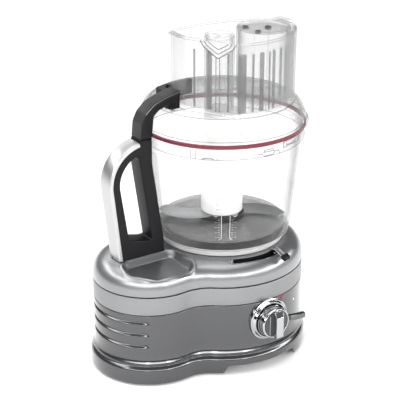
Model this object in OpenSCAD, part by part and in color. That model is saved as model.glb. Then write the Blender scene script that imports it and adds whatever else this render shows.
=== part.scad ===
// Countertop food processor: two-lobed base, clear work bowl, lid with feed tube and pushers.
// Millimetres. +Z is up, the control knob faces -Y and the bowl handle faces -X.
// Modules are drawn about the bowl axis; place() moves them so that the origin is the
// bottom centre of the whole object's box.

/* [Base] */
// Radius of the base wall round the bowl
bowl_lobe_r = 110; // [108:1:130]
// Radius of the base wall round the motor lobe
motor_lobe_r = 75; // [74:1:88]
// Distance from the bowl axis to the motor axis
lobe_gap = 115; // [112:1:138]
// Radius of the concave waist between the lobes
waist_r = 50; // [40:1:70]
// Thickness of the cast housing walls
wall = 3; // [2.5:0.5:4]
// Height of the housing's lower edge above the table
skirt_z = 2.5; // [2:0.5:5]
// Height of the groove above the flared skirt
skirt_top_z = 27; // [25:1:32]
// How far the skirt flares out past the wall
skirt_flare = 5.5; // [3:0.5:8]
// Height of the grey body wall's upper edge
body_top_z = 100; // [96:1:115]
// Height of the brushed trim band
band_h = 25; // [15:1:30]
// Shadow gap between the trim band and the deck
shadow_gap = 1; // [0.5:0.5:2]
// Height of the deck's straight edge
deck_edge_h = 6; // [3:1:12]
// Radius of the deck's rounded shoulder
shoulder_r = 26; // [18:1:28]
// Number of grooves round the motor lobe
groove_count = 3; // [1:1:3]
// Distance between two grooves
groove_pitch = 17; // [14:1:20]
// Half angle that the grooves wrap round the motor lobe
groove_sweep = 58; // [30:1:70]
// Depth of the grooves
groove_depth = 2; // [1:0.5:2]
// Height of the cut-out in the front of the skirt
notch_h = 11; // [6:1:12]
// Depth of the tray scooped into the deck
tray_depth = 6; // [4:1:8]

/* [Feet and plate] */
// Thickness of the bottom plate
plate_t = 3; // [2:0.5:4]
// Radius of a rubber foot
foot_r = 10; // [8:1:13]
// Radius of a base screw's shank
base_screw_r = 2; // [1.5:0.5:2.5]

/* [Controls] */
// Height of the knob's axis
knob_z = 72.5; // [68:0.5:78]
// Outer radius of the knob bezel
bezel_r = 29; // [27:0.5:31]
// Radius of the knob barrel
knob_r = 21; // [18:0.5:22]
// How far the knob stands out of the wall
knob_reach = 27; // [24:1:34]
// Width of the knob's grip bar
grip_bar_w = 11; // [8:1:14]
// Height of the knob's grip bar
grip_bar_h = 36; // [28:1:40]
// Radius of the knob's shaft
knob_shaft_r = 4; // [3:0.5:5]
// Length of the pulse paddle from the knob's axis
paddle_len = 49; // [40:1:56]
// Radius of the indicator lens
lens_r = 2.5; // [2:0.5:4]
// Distance of the lever slot from the bowl axis
slot_r = 94; // [92:0.5:96]
// Width of the lever slot
slot_w = 7; // [6:0.5:8]
// Angle at which the lever rests, from the front towards +X
lever_rest = 13; // [8:1:16]
// Angle that the slice lever turns
lever_travel = 34; // [20:1:36]
// Height that the slicing lifter rises
lift_travel = 6; // [3:0.5:8]

/* [Drive] */
// Radius of the motor shaft
motor_shaft_r = 5; // [4:0.5:6]
// Outer radius of the motor stator
stator_r = 56; // [50:1:58]
// Bore radius of the motor stator
stator_bore_r = 34; // [28:1:38]
// Length of the motor stator
stator_h = 45; // [35:1:46]
// Radius of the motor pulley
motor_pulley_r = 13; // [10:1:16]
// Radius of the spindle pulley
spindle_pulley_r = 52; // [42:1:56]
// Height of the belt
belt_h = 10; // [8:1:11]
// Thickness of the belt
belt_t = 3; // [2:0.5:4]
// Radius of the drive spindle
spindle_r = 8; // [6:0.5:9]
// Outer radius of the spindle bearings
spindle_bearing_r = 15; // [14:0.5:17]
// Across-corners radius of the hexagonal drive end
hex_r = 7; // [5:0.5:7.5]
// Running clearance of the shafts in their bearings
running = 0.05; // [0.02:0.01:0.08]
// Clearance between parts that slide over each other
slip = 0.5; // [0.35:0.05:0.8]

/* [Bowl] */
// Outer radius of the bowl at its rim
bowl_rim_r = 105; // [100:0.5:105]
// Outer radius of the bowl at its floor
bowl_floor_r = 93; // [84:0.5:96]
// Wall thickness of the bowl
bowl_wall = 3; // [2:0.5:3.5]
// Height of the bowl's floor above the deck
bowl_floor_h = 22; // [16:1:26]
// Height of the bowl above the deck
bowl_h = 156; // [150:1:190]
// Radius of the bowl's foot
bowl_foot_r = 82; // [74:1:82]
// Bore radius of the bowl's centre post
post_bore_r = 11; // [10.5:0.5:11.5]
// Height of the centre post above the bowl's floor
post_h = 56; // [40:1:64]

/* [Handle] */
// Width of the handle
handle_w = 26; // [20:1:34]
// Depth of the grip from front to back of the hand
grip_t = 16; // [12:0.5:18]
// Thickness of the silver grip cover
cover_t = 3.5; // [2:0.5:5]
// Radius of the grip's upper bend
grip_bend_r = 54; // [46:1:58]
// Height of the bend's centre above the deck
grip_bend_h = 103.5; // [98:0.5:108]
// Radius of the interlock pin
pin_r = 3; // [2:0.5:4]
// Travel of the interlock pin
pin_travel = 5; // [2:0.5:6]

/* [Blade] */
// Radius of the blade hub
hub_r = 28; // [24:0.5:30]
// Thickness of a blade
blade_t = 1.6; // [1:0.2:2.4]
// Radius swept by the blade tips
blade_tip_r = 86; // [74:1:86]

/* [Lid] */
// Depth of the lid's skirt
lid_skirt_h = 14; // [10:1:18]
// Height of the lid's dome above its flange
lid_dome_h = 26; // [20:1:30]
// Wall thickness of the lid
lid_wall = 2.5; // [2:0.25:3]
// Thickness of the red seal
seal_h = 5; // [3:0.5:6]
// Height of the feed tube above the lid
tube_h = 91; // [70:1:110]
// Outer radius of the feed tube about the bowl axis
tube_r = 94; // [88:0.5:95]
// Wall thickness of the feed tube and of the pushers
tube_wall = 2.5; // [2:0.25:3]
// Radius of the medium pusher's bore in the large pusher
medium_r = 33; // [28:0.5:35]
// Radius of the small pusher's bore in the large pusher
small_r = 17; // [13:0.5:18]

/* [Hidden] */
$fn = 96;

eps = 0.01;
far = 400;

// Heights of the base
band_z = body_top_z;
deck_z = band_z + band_h + shadow_gap;
shoulder_z = deck_z + deck_edge_h;
deck_top = shoulder_z + shoulder_r;
plate_z = skirt_z + notch_h + 1.5;
plate_top = plate_z + plate_t;
wall_y = -bowl_lobe_r;
shoulder_steps = 12;
frame_t = 1.2;

// Centre of the front waist arc, which touches both lobes
waist_a = bowl_lobe_r + waist_r;
waist_b = motor_lobe_r + waist_r;
waist_x = -(pow(waist_a, 2) - pow(waist_b, 2) + pow(lobe_gap, 2)) / (2 * lobe_gap);
waist_y = sqrt(pow(waist_a, 2) - pow(waist_x, 2));

// The object's box, which sets the origin
front_y = wall_y - knob_reach;
back_y = bowl_lobe_r + skirt_flare;
axis_x = (lobe_gap + motor_lobe_r - bowl_lobe_r) / 2;
axis_y = -(front_y + back_y) / 2;

// Control knob layers, counted outwards from the wall
bezel_t = 6;
bezel_face = wall_y - bezel_t;
paddle_back = wall_y - 1.5;
paddle_front = bezel_face - 2.5;
barrel_back = paddle_front - slip;
barrel_front = wall_y - knob_reach + 9;
knob_front = wall_y - knob_reach;
shaft_hole_r = knob_shaft_r + 1.5;
switch_r = 16;
switch_len = 22;

// Belt drive
belt_z = plate_top + 4;
pulley_z = belt_z - 1;
pulley_h = belt_h + 2;
belt_gap = 0.3;
lower_bracket_z = pulley_z + pulley_h + 6;
bracket_t = 4;
bracket_r = stator_r + 4;
bracket_leg_r = 4;
stator_z = lower_bracket_z + bracket_t + 5;
upper_bracket_z = stator_z + stator_h + 4;
rotor_r = stator_bore_r - 0.8;
fan_z = upper_bracket_z + bracket_t + 4;
fan_h = 9;
motor_bearing_r = 11;
bearing_h = 7;
boss_wall = 4;

// Spindle and slicing adjuster
under_deck = deck_top - wall;
spindle_tube_r = spindle_bearing_r + 4;
lower_seat_z = lower_bracket_z + 14;
upper_seat_z = under_deck - 20;
spindle_bearing_h = 9;
hex_h = 26;
post_top = deck_top + bowl_floor_h + post_h;
sleeve_r = spindle_tube_r + slip;
sleeve_t = 3;
cam_r = sleeve_r + sleeve_t + slip;
cam_t = 5;
cam_z = under_deck - 36;
cam_h = 20;
lever_arm_z = cam_z + cam_h;
lever_arm_t = 4;
lever_w = 9;
lever_stem_w = 5;
follower_r = 2;
follower_len = cam_r + cam_t - 0.5;

// Bowl
floor_z = deck_top + bowl_floor_h;
rim_z = deck_top + bowl_h;
post_r = post_bore_r + 3;
wall_slope = (bowl_rim_r - bowl_floor_r) / (rim_z - floor_z);
handle_half = handle_w / 2;
function bowl_r_at(z) = bowl_floor_r + wall_slope * (z - floor_z);

// Handle, drawn in the XZ plane. The bar follows the bowl's wall at a fixed distance.
bar_gap = 13;
bar_t = 17;
bend_z = deck_top + grip_bend_h;
foot_z = deck_top + 0.5;
seam_z = rim_z + 4;
grip_lean = 0.112;
lean_angle = atan(grip_lean);
bar_low_x = -(bowl_r_at(floor_z) + 7);
bar_high_z = rim_z - 30;
bar_high_x = -(bowl_r_at(bar_high_z) + bar_gap);
bend_x = bar_high_x - 9.5;
tangent_x = bend_x - grip_bend_r * cos(lean_angle);
tangent_z = bend_z - grip_bend_r * sin(lean_angle);
foot_x = tangent_x + grip_lean * (tangent_z - foot_z);
gap_low_z = floor_z - 2;
bend_steps = 20;
bend_end_a = 100;
gap_end_a = 112;
bar_lean = (bar_high_x - bar_low_x) / (bar_high_z - floor_z);
function bar_x_at(z) = bar_low_x + bar_lean * (z - floor_z);
function bar_left_at(z) = bar_x_at(z) - bar_t - 1;
pin_x = bar_high_x - 8;
screw_r = 1.6;
screw_head_r = 4;
screw_seat = 6;
screw_heights = [floor_z + 24, rim_z - 52];
pin_len = 20;
spring_h = 14;

// Blade stack, from the bowl's floor upwards
collar_z = floor_z + 1.2;
lower_collar_h = 3;
lower_blade_z = collar_z + lower_collar_h;
upper_collar_h = 4.4;
upper_blade_z = lower_blade_z + blade_t + upper_collar_h;
hub_z = upper_blade_z + blade_t;
hub_top = rim_z + 16;
hub_bore_r = post_r + 1;
hub_wall = 3;
collar_r = hub_r + 2;

// Lid
lid_gap = 0.8;
skirt_in_r = bowl_rim_r + lid_gap;
skirt_out_r = skirt_in_r + lid_wall;
flange_z = rim_z + 1;
flange_t = 3.5;
flange_r = skirt_out_r + 4.5;
seal_z = flange_z;
lid_shelf_z = seal_z + seal_h;
lid_top = lid_shelf_z + flange_t + lid_dome_h;
lid_plateau_r = skirt_out_r - 14;
tube_top = lid_top + tube_h;

// Feed tube outline: front arc about the bowl axis, a flatter arc behind, planes at both ends
tube_back_r = 161;
tube_back_x = -19;
tube_back_y = 26.5 - tube_back_r;
tube_left_x = -(tube_r - 22);
tube_right_x = tube_r - 10;
tube_cut_a = 27;
tube_cut_y = -20;
pusher_gap = slip;
pusher_wall = 2;
pusher_floor_z = lid_top + 1.5;
pusher_rim_t = 2.5;
medium_x = 38;
medium_y = -36;
small_x = -34;
small_y = -42;

// Lid arm, from the seam above the handle to the feed tube
arm_low_out = bar_high_x - 16;
arm_low_in = bar_high_x;
arm_t = 11;
arm_top_z = lid_top + 20;

module place() {
    translate([axis_x, axis_y, 0]) children();
}

// Stands a profile drawn in X and Z upright, thick along Y about the handle's middle plane
module upright(depth) {
    translate([0, depth / 2, 0]) rotate([90, 0, 0]) linear_extrude(depth) children();
}

// Turns children drawn along +Z so that they point along -Y, out of the front wall
module facing_front(y) {
    translate([0, y, knob_z]) rotate([90, 0, 0]) children();
}

// The kite that joins the two lobe centres and the two waist centres
module kite() {
    polygon([[0, 0], [waist_x, waist_y], [-lobe_gap, 0], [waist_x, -waist_y]]);
}

// Solid of the two-lobed outline, from z0 to z1, drawn in or out by off
module lobes(off, z0, z1) {
    h = z1 - z0;
    translate([0, 0, z0]) {
        cylinder(r = bowl_lobe_r + off, h = h);
        translate([-lobe_gap, 0, 0]) cylinder(r = motor_lobe_r + off, h = h);
        difference() {
            linear_extrude(h) kite();
            for (s = [-1, 1])
                translate([waist_x, s * waist_y, -1]) cylinder(r = waist_r - off, h = h + 2);
        }
    }
}

// Points of the shoulder's quarter round, from the wall up to the flat top
function shoulder_points(off) = [
    for (i = [0 : shoulder_steps])
        (shoulder_r + off) * [cos(90 * i / shoulder_steps), sin(90 * i / shoulder_steps)]
];

// Half section of a domed lobe: straight edge, then the quarter-round shoulder
module dome_section(r, off, z0) {
    polygon(concat(
        [[0, z0], [r + off, z0]],
        [for (p = shoulder_points(off)) [r - shoulder_r + p[0], shoulder_z + p[1]]],
        [[0, deck_top + off]]
    ));
}

// Half section of what the waist leaves out of the kite: the same shoulder, mirrored
module waist_section(off, z0) {
    polygon(concat(
        [[0, z0 - 1], [waist_r - off, z0 - 1]],
        [for (p = shoulder_points(off)) [waist_r + shoulder_r - p[0], shoulder_z + p[1]]],
        [[waist_r + shoulder_r, deck_top + off + 1], [0, deck_top + off + 1]]
    ));
}

// Solid of the deck's domed form, drawn in or out by off, from z0 up
module deck_form(off, z0) {
    rotate_extrude() dome_section(bowl_lobe_r, off, z0);
    translate([-lobe_gap, 0, 0]) rotate_extrude() dome_section(motor_lobe_r, off, z0);
    difference() {
        translate([0, 0, z0]) linear_extrude(deck_top + off - z0) kite();
        for (s = [-1, 1]) translate([waist_x, s * waist_y, 0]) rotate_extrude() waist_section(off, z0);
    }
}

// The tray's outline in plan, on the front side between the handle and the bowl
module tray_outline() {
    x_low = -lobe_gap - 44;
    y_back = -handle_half - 8;
    hull() {
        translate([x_low + 6, y_back - 8]) circle(r = 6);
        translate([-lobe_gap + 22, y_back - 4]) circle(r = 6);
        translate([-lobe_gap + 24, y_back - 30]) circle(r = 6);
        translate([-lobe_gap - 16, y_back - 36]) circle(r = 6);
    }
}

// Arc-shaped bar in plan about the bowl axis, with round ends, between two angles from the front
module arc_bar(r, w, a0, a1, h) {
    rotate([0, 0, a0 - 90]) rotate_extrude(angle = a1 - a0) translate([r - w / 2, 0]) square([w, h]);
    for (a = [a0, a1]) rotate([0, 0, a - 90]) translate([r, 0, 0]) cylinder(r = w / 2, h = h);
}

slot_a0 = lever_rest - lever_travel - 4;
slot_a1 = lever_rest + 4;

module deck_housing() {
    color([0.52, 0.53, 0.54]) place() difference() {
        deck_form(0, deck_z);
        difference() {
            deck_form(-wall, deck_z - 1);
            translate([0, 0, deck_top - tray_depth - wall]) linear_extrude(far) offset(wall) tray_outline();
        }
        translate([0, 0, deck_top - tray_depth]) linear_extrude(far) tray_outline();
        translate([0, 0, deck_z - 2]) cylinder(r = sleeve_r + sleeve_t + 2, h = far);
        translate([0, 0, deck_z - 2]) arc_bar(slot_r, slot_w, slot_a0, slot_a1, far);
        translate([switch_x, 0, deck_z]) cylinder(r = pin_r + 1, h = far);
    }
}

module trim_band() {
    color([0.78, 0.78, 0.77]) place() difference() {
        lobes(0, band_z, band_z + band_h);
        lobes(-wall, band_z - 1, band_z + band_h + 1);
    }
}

// One groove round the motor lobe, with a round section and tapering out at its ends
module side_groove(z) {
    translate([-lobe_gap, 0, z]) rotate([0, 0, 180 - groove_sweep])
        rotate_extrude(angle = 2 * groove_sweep)
            translate([motor_lobe_r + 3 - groove_depth, 0]) circle(r = 3);
}

groove_top = body_top_z - 11;

module body_housing() {
    color([0.38, 0.39, 0.4]) place() difference() {
        union() {
            lobes(0, skirt_top_z, body_top_z);
            lobes(skirt_flare, skirt_z, skirt_top_z);
        }
        lobes(-wall, skirt_z - 1, body_top_z + 1);
        for (i = [0 : groove_count - 1]) side_groove(groove_top - i * groove_pitch);
        skirt_notch();
        facing_front(wall_y + wall + 3) cylinder(r = shaft_hole_r, h = wall + 6);
        translate([lens_x, 0, lens_z]) rotate([90, 0, 0]) cylinder(r = lens_r + 0.1, h = far);
        translate([gland_x, 0, gland_z]) rotate([-90, 0, 0]) cylinder(r = gland_r, h = far);
    }
}

// The cut-out in the skirt's front edge, with slanted ends
module skirt_notch() {
    half = bowl_lobe_r / 2;
    translate([-6, -bowl_lobe_r + wall + 12, 0]) rotate([90, 0, 0]) linear_extrude(60)
        polygon([[-half, -1], [-half + 8, skirt_z + notch_h], [half - 8, skirt_z + notch_h], [half, -1]]);
}

lens_x = 23;
lens_z = body_top_z - 3.5;
gland_x = -lobe_gap;
gland_z = 48;
gland_r = 8;
gland_len = 16;
cord_r = 4;
post_ring = [[-150, 42], [-150, -42], [-50, 70], [-50, -70], [82, 38], [82, -38]];
foot_spots = [[-152, 0], [-70, 62], [-70, -62], [62, 62], [62, -62]];

module bottom_plate() {
    color([0.15, 0.15, 0.16]) place() difference() {
        lobes(-wall - 0.4, plate_z, plate_top);
        for (p = post_ring) translate([p[0], p[1], plate_z - 1]) cylinder(r = base_screw_r + 0.2, h = plate_t + 2);
        for (i = [0 : 6]) translate([-lobe_gap - 27 + 9 * i, 0, plate_z + 1]) cube([4, 50, plate_t * 2], center = true);
    }
}

module rubber_feet() {
    color([0.08, 0.08, 0.08]) place() for (p = foot_spots) translate([p[0], p[1], 0]) {
        cylinder(r1 = foot_r - 1, r2 = foot_r, h = 2);
        translate([0, 0, 2]) cylinder(r = foot_r, h = plate_z - 2);
    }
}

// Screws under the plate: head below, shank through the plate
module base_screws() {
    color([0.6, 0.6, 0.6]) place() for (p = post_ring) translate([p[0], p[1], 0]) {
        translate([0, 0, plate_z - 2]) cylinder(r = base_screw_r + 2, h = 2);
        translate([0, 0, plate_z - eps]) cylinder(r = base_screw_r, h = plate_t + 8);
    }
}

module knob_bezel() {
    color([0.8, 0.8, 0.82]) place() difference() {
        facing_front(wall_y + 10) difference() {
            cylinder(r = bezel_r, h = 10 + bezel_t);
            translate([0, 0, -1]) cylinder(r = knob_r + 2.5, h = 12 + bezel_t);
        }
        cylinder(r = bowl_lobe_r, h = far);
    }
}

module indicator_lens() {
    reach = sqrt(pow(bowl_lobe_r, 2) - pow(lens_x, 2));
    color([0.8, 0.05, 0.08]) place() translate([lens_x, -reach + wall, lens_z]) rotate([90, 0, 0])
        cylinder(r = lens_r, h = wall + 1.2);
}

// Bright frame round the lever slot: it follows the shoulder, so it is cut from a thin shell
module slot_frame() {
    color([0.75, 0.76, 0.78]) place() difference() {
        intersection() {
            rotate_extrude() dome_section(bowl_lobe_r, frame_t, deck_z);
            translate([0, 0, deck_z]) arc_bar(slot_r, slot_w + 5, slot_a0 - 1, slot_a1 + 1, far);
        }
        rotate_extrude() dome_section(bowl_lobe_r, 0, deck_z - 1);
        translate([0, 0, deck_z - 2]) arc_bar(slot_r, slot_w, slot_a0, slot_a1, far);
    }
}

module cord_gland() {
    flange = 3;
    inner_y = motor_lobe_r - wall - flange - 1;
    color([0.1, 0.1, 0.1]) place() translate([gland_x, inner_y, gland_z]) rotate([-90, 0, 0]) difference() {
        union() {
            cylinder(r = gland_r, h = gland_len);
            translate([0, 0, motor_lobe_r - inner_y]) cylinder(r = gland_r + 3, h = flange);
            cylinder(r = gland_r + 3, h = flange);
        }
        translate([0, 0, -1]) cylinder(r = cord_r, h = gland_len + 2);
    }
}

// Switch body on the inner face of the curved front wall, with a bore for the knob's shaft
module rotary_switch() {
    color([0.2, 0.2, 0.22]) place() intersection() {
        facing_front(wall_y + wall + switch_len) difference() {
            cylinder(r = switch_r, h = switch_len + wall);
            translate([0, 0, 5]) cylinder(r = knob_shaft_r + running, h = switch_len + wall);
        }
        cylinder(r = bowl_lobe_r - wall, h = far);
    }
}

module circuit_board() {
    board_y = bowl_lobe_r - 34;
    color([0.1, 0.35, 0.2]) place() translate([8, board_y, plate_top]) {
        cube([60, 1.6, 46]);
        translate([6, -12, 6]) cube([14, 12, 22]);
        translate([25, -10, 10]) cube([12, 10, 30]);
        for (x = [44, 54]) translate([x, -6, 26]) cylinder(r = 4, h = 18);
        for (x = [44, 54]) translate([x - 2, -6, 26]) cube([4, 6 + eps, 18]);
    }
}

switch_x = pin_x;

// Micro switch below the handle: the interlock's electrical end
module interlock_switch() {
    color([0.12, 0.12, 0.14]) place() {
        translate([switch_x - 14, -6, under_deck - 24]) cube([28, 12, 18]);
        translate([switch_x, 0, under_deck - 6 - eps]) cylinder(r = pin_r, h = 8);
        for (s = [-1, 1]) translate([switch_x + 11 * s - 2, -2, under_deck - 6]) cube([4, 4, 6]);
    }
}

module at_motor(z) {
    translate([-lobe_gap, 0, z]) children();
}

module motor_stator() {
    color([0.45, 0.45, 0.47]) place() at_motor(stator_z) difference() {
        union() {
            cylinder(r = stator_r, h = stator_h);
            for (z = [-4, stator_h]) translate([0, 0, z]) difference() {
                cylinder(r = stator_r - 8, h = 4);
                translate([0, 0, -1]) cylinder(r = stator_bore_r + 3, h = 6);
            }
        }
        translate([0, 0, -1]) cylinder(r = stator_bore_r, h = stator_h + 2);
    }
}

// Bracket disc with a bearing boss and four legs down to leg_z
module bracket(z, leg_z) {
    at_motor(0) difference() {
        union() {
            translate([0, 0, z]) cylinder(r = bracket_r, h = bracket_t);
            translate([0, 0, z]) cylinder(r = motor_bearing_r + boss_wall, h = bearing_h);
            for (a = [45 : 90 : 315]) rotate([0, 0, a])
                translate([bracket_r, 0, leg_z]) cylinder(r = bracket_leg_r, h = z + bracket_t - leg_z);
        }
        translate([0, 0, z - 1]) cylinder(r = motor_bearing_r, h = bearing_h + 2);
        for (a = [0 : 90 : 270]) rotate([0, 0, a]) translate([36, 0, z - 1]) cylinder(r = 9, h = bearing_h);
    }
}

module motor_upper_bracket() {
    color([0.66, 0.67, 0.68]) place() bracket(upper_bracket_z, lower_bracket_z + bracket_t);
}

module motor_lower_bracket() {
    color([0.66, 0.67, 0.68]) place() bracket(lower_bracket_z, plate_top);
}

module bearing(outer_r, bore_r, h) {
    difference() {
        cylinder(r = outer_r, h = h);
        translate([0, 0, -1]) cylinder(r = bore_r, h = h + 2);
    }
}

module motor_bearings() {
    color([0.7, 0.7, 0.72]) place() for (z = [lower_bracket_z, upper_bracket_z])
        at_motor(z) bearing(motor_bearing_r, motor_shaft_r + running, bearing_h);
}

module rotor_core() {
    color([0.5, 0.42, 0.36]) place() at_motor(stator_z + 1) difference() {
        cylinder(r = rotor_r, h = stator_h - 2);
        translate([0, 0, -1]) cylinder(r = motor_shaft_r, h = stator_h);
    }
}

module motor_shaft() {
    color([0.72, 0.72, 0.74]) place() at_motor(pulley_z) cylinder(r = motor_shaft_r, h = fan_z + fan_h - pulley_z);
}

module cooling_fan() {
    color([0.12, 0.12, 0.13]) place() at_motor(fan_z) difference() {
        union() {
            cylinder(r = 10, h = fan_h);
            cylinder(r = 44, h = 1.5);
            for (a = [0 : 40 : 320]) rotate([0, 0, a]) translate([8, -0.8, 0]) cube([35, 1.6, fan_h]);
        }
        translate([0, 0, -1]) cylinder(r = motor_shaft_r, h = fan_h + 2);
    }
}

// Flanged belt pulley
module pulley(r, bore_r) {
    difference() {
        union() {
            cylinder(r = r, h = pulley_h);
            for (z = [0, pulley_h - 0.8]) translate([0, 0, z]) cylinder(r = r + belt_t, h = 0.8);
        }
        translate([0, 0, -1]) cylinder(r = bore_r, h = pulley_h + 2);
    }
}

module motor_pulley() {
    color([0.55, 0.55, 0.57]) place() at_motor(pulley_z) pulley(motor_pulley_r, motor_shaft_r);
}

// Outline of a belt that runs round both pulleys at the given distance from their faces
module belt_outline(off) {
    hull() {
        circle(r = spindle_pulley_r + off);
        translate([-lobe_gap, 0]) circle(r = motor_pulley_r + off);
    }
}

module drive_belt() {
    color([0.07, 0.07, 0.07]) place() translate([0, 0, belt_z + belt_gap]) linear_extrude(belt_h - 2 * belt_gap)
        difference() {
            belt_outline(belt_t);
            belt_outline(belt_gap);
        }
}

module spindle_housing() {
    color([0.62, 0.63, 0.64]) place() difference() {
        union() {
            translate([0, 0, lower_seat_z - 3]) cylinder(r = spindle_tube_r, h = deck_top - 4 - lower_seat_z);
            translate([0, 0, lower_seat_z - 3]) cylinder(r = spindle_tube_r + 12, h = 4);
            for (a = [-90, 0, 90]) rotate([0, 0, a]) spindle_strut();
        }
        translate([0, 0, lower_seat_z - 4]) cylinder(r = spindle_r + 3, h = far);
        translate([0, 0, lower_seat_z]) cylinder(r = spindle_bearing_r, h = far);
    }
}

// Strut that carries the spindle housing on the bottom plate, outside the pulley
module spindle_strut() {
    post_x = spindle_pulley_r + belt_t + 10;
    translate([spindle_tube_r, -4, lower_seat_z - 3]) cube([post_x - spindle_tube_r, 8, 4]);
    translate([post_x, 0, plate_top]) cylinder(r = 5, h = lower_seat_z + 1 - plate_top);
}

module spindle_bearings() {
    color([0.7, 0.7, 0.72]) place() for (z = [lower_seat_z, upper_seat_z])
        translate([0, 0, z]) bearing(spindle_bearing_r, spindle_r + running, spindle_bearing_h);
}

module spindle_pulley() {
    color([0.5, 0.5, 0.52]) place() translate([0, 0, pulley_z]) difference() {
        pulley(spindle_pulley_r, spindle_r);
        for (a = [0 : 60 : 300]) rotate([0, 0, a]) translate([30, 0, -1]) cylinder(r = 9, h = far);
    }
}

module spindle_shaft() {
    color([0.75, 0.75, 0.77]) place() {
        translate([0, 0, pulley_z]) cylinder(r = spindle_r, h = post_top + 1 - pulley_z);
        translate([0, 0, post_top + 1 - eps]) cylinder(r = hex_r, h = hex_h, $fn = 6);
    }
}

// The cam ring's helical windows, approximated by straight windows tilted to the helix
module cam_window() {
    mid = lever_travel / 2;
    path = cam_r * lever_travel * PI / 180;
    tilt = atan(lift_travel / path);
    run = path + 2 * follower_r + 6;
    rotate([0, 0, mid]) translate([0, 0, cam_z + cam_h / 2]) rotate([tilt, 0, 0])
        translate([cam_r - 4, -run / 2, -follower_r - 1]) cube([cam_t + 8, run, 2 * follower_r + 2]);
}

module cam_ring() {
    color([0.85, 0.85, 0.82]) place() difference() {
        translate([0, 0, cam_z]) difference() {
            cylinder(r = cam_r + cam_t, h = cam_h);
            translate([0, 0, -1]) cylinder(r = cam_r, h = cam_h + 2);
        }
        for (a = [0 : 120 : 240]) rotate([0, 0, a]) cam_window();
    }
}

// Slice lever: inner arm on the cam ring, a stem through the slot and the outer finger piece
module slice_lever() {
    color([0.85, 0.85, 0.87]) place() rotate([0, 0, lever_rest - 90]) {
        difference() {
            union() {
                translate([cam_r + 1, -lever_w / 2, lever_arm_z]) cube([slot_r - cam_r - 1, lever_w, lever_arm_t]);
                translate([0, 0, lever_arm_z]) cylinder(r = cam_r + cam_t, h = lever_arm_t);
            }
            translate([0, 0, lever_arm_z - 1]) cylinder(r = cam_r, h = lever_arm_t + 2);
        }
        translate([slot_r - 2.3, -lever_stem_w / 2, lever_arm_z]) cube([4.6, lever_stem_w, deck_top + 3 - lever_arm_z]);
        upright(lever_w) finger_outline(slot_r + 22);
    }
}

// Side outline of the lever's outer finger piece, sloping down over the shoulder
module finger_outline(reach) {
    polygon([
        [slot_r - 6, deck_top + 3], [slot_r + 4, deck_top + 3], [reach, deck_top - 6],
        [reach, deck_top - 3], [slot_r + 6, deck_top + 6], [slot_r - 6, deck_top + 6]
    ]);
}

module lever_tip() {
    color([0.06, 0.06, 0.06]) place() rotate([0, 0, lever_rest - 90]) upright(lever_w - 2)
        polygon([
            [slot_r - 5, deck_top + 6], [slot_r + 5, deck_top + 6], [slot_r + 3, deck_top + 10],
            [slot_r - 4, deck_top + 10]
        ]);
}

// Sleeve that the cam raises; its three followers run in the cam ring's windows
module slicing_lifter() {
    color([0.9, 0.9, 0.88]) place() {
        translate([0, 0, cam_z - 8]) difference() {
            cylinder(r = sleeve_r + sleeve_t, h = cam_h + 8);
            translate([0, 0, -1]) cylinder(r = sleeve_r, h = cam_h + 12);
        }
        for (a = [0 : 120 : 240]) rotate([0, 0, a])
            translate([sleeve_r + 1, 0, cam_z + cam_h / 2 - lift_travel / 2]) rotate([0, 90, 0])
                cylinder(r = follower_r, h = follower_len - sleeve_r - 1);
    }
}

module control_knob() {
    color([0.3, 0.3, 0.31]) place() {
        facing_front(barrel_back) cylinder(r = knob_r, h = barrel_back - barrel_front);
        facing_front(wall_y + wall + switch_len - 7) cylinder(r = knob_shaft_r, h = -barrel_back + wall_y + wall + switch_len - 7 + eps);
    }
}

module grip_bar() {
    top = grip_bar_h / 2;
    low = grip_bar_h / 2;
    color([0.9, 0.9, 0.92]) place() translate([-grip_bar_w / 2, 0, knob_z]) rotate([90, 0, 90])
        linear_extrude(grip_bar_w) polygon([
            [barrel_front, -low], [barrel_front, top], [knob_front + 1, top - 5],
            [knob_front, top - 6], [knob_front, -low + 1], [knob_front + 1, -low]
        ]);
}

module pulse_paddle() {
    color([0.82, 0.82, 0.84]) place() {
        facing_front(paddle_back) difference() {
            cylinder(r = knob_r, h = paddle_back - paddle_front);
            translate([0, 0, -1]) cylinder(r = knob_shaft_r + 0.6, h = 20);
        }
        translate([14, paddle_front, knob_z - 5]) cube([paddle_len - 14, bezel_face - 0.6 - paddle_front, 4.5]);
        translate([knob_r + 1.5, paddle_front - 7, knob_z - 5]) cube([paddle_len - knob_r - 1.5, 7 + eps, 4.5]);
    }
}

// Half section of the bowl's outer form
module bowl_outer_section() {
    polygon([
        [0, deck_top + 0.3], [bowl_foot_r, deck_top + 0.3], [bowl_foot_r, deck_top + 7],
        [bowl_floor_r - 1, deck_top + 14], [bowl_floor_r, floor_z - 2], [bowl_rim_r, rim_z], [0, rim_z]
    ]);
}

module bowl() {
    color([0.85, 0.88, 0.9, 0.35]) place() difference() {
        union() {
            difference() {
                union() {
                    rotate_extrude() bowl_outer_section();
                    upright(10) rib_outline();
                }
                rotate_extrude() polygon([
                    [0, floor_z], [bowl_floor_r - bowl_wall - 6, floor_z],
                    [bowl_floor_r - bowl_wall, floor_z + 6], [bowl_rim_r - bowl_wall, rim_z + 1], [0, rim_z + 1]
                ]);
            }
            cylinder(r = post_r, h = post_top);
        }
        for (z = screw_heights) at_screw(z) translate([0, 0, -4]) cylinder(r = screw_r, h = 8);
        rotate_extrude() polygon([
            [0, 0], [bowl_foot_r - bowl_wall, 0], [bowl_foot_r - bowl_wall, deck_top + 8],
            [bowl_floor_r - bowl_wall - 6, floor_z - bowl_wall], [0, floor_z - bowl_wall]
        ]);
        cylinder(r = post_bore_r, h = far);
    }
}

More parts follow.
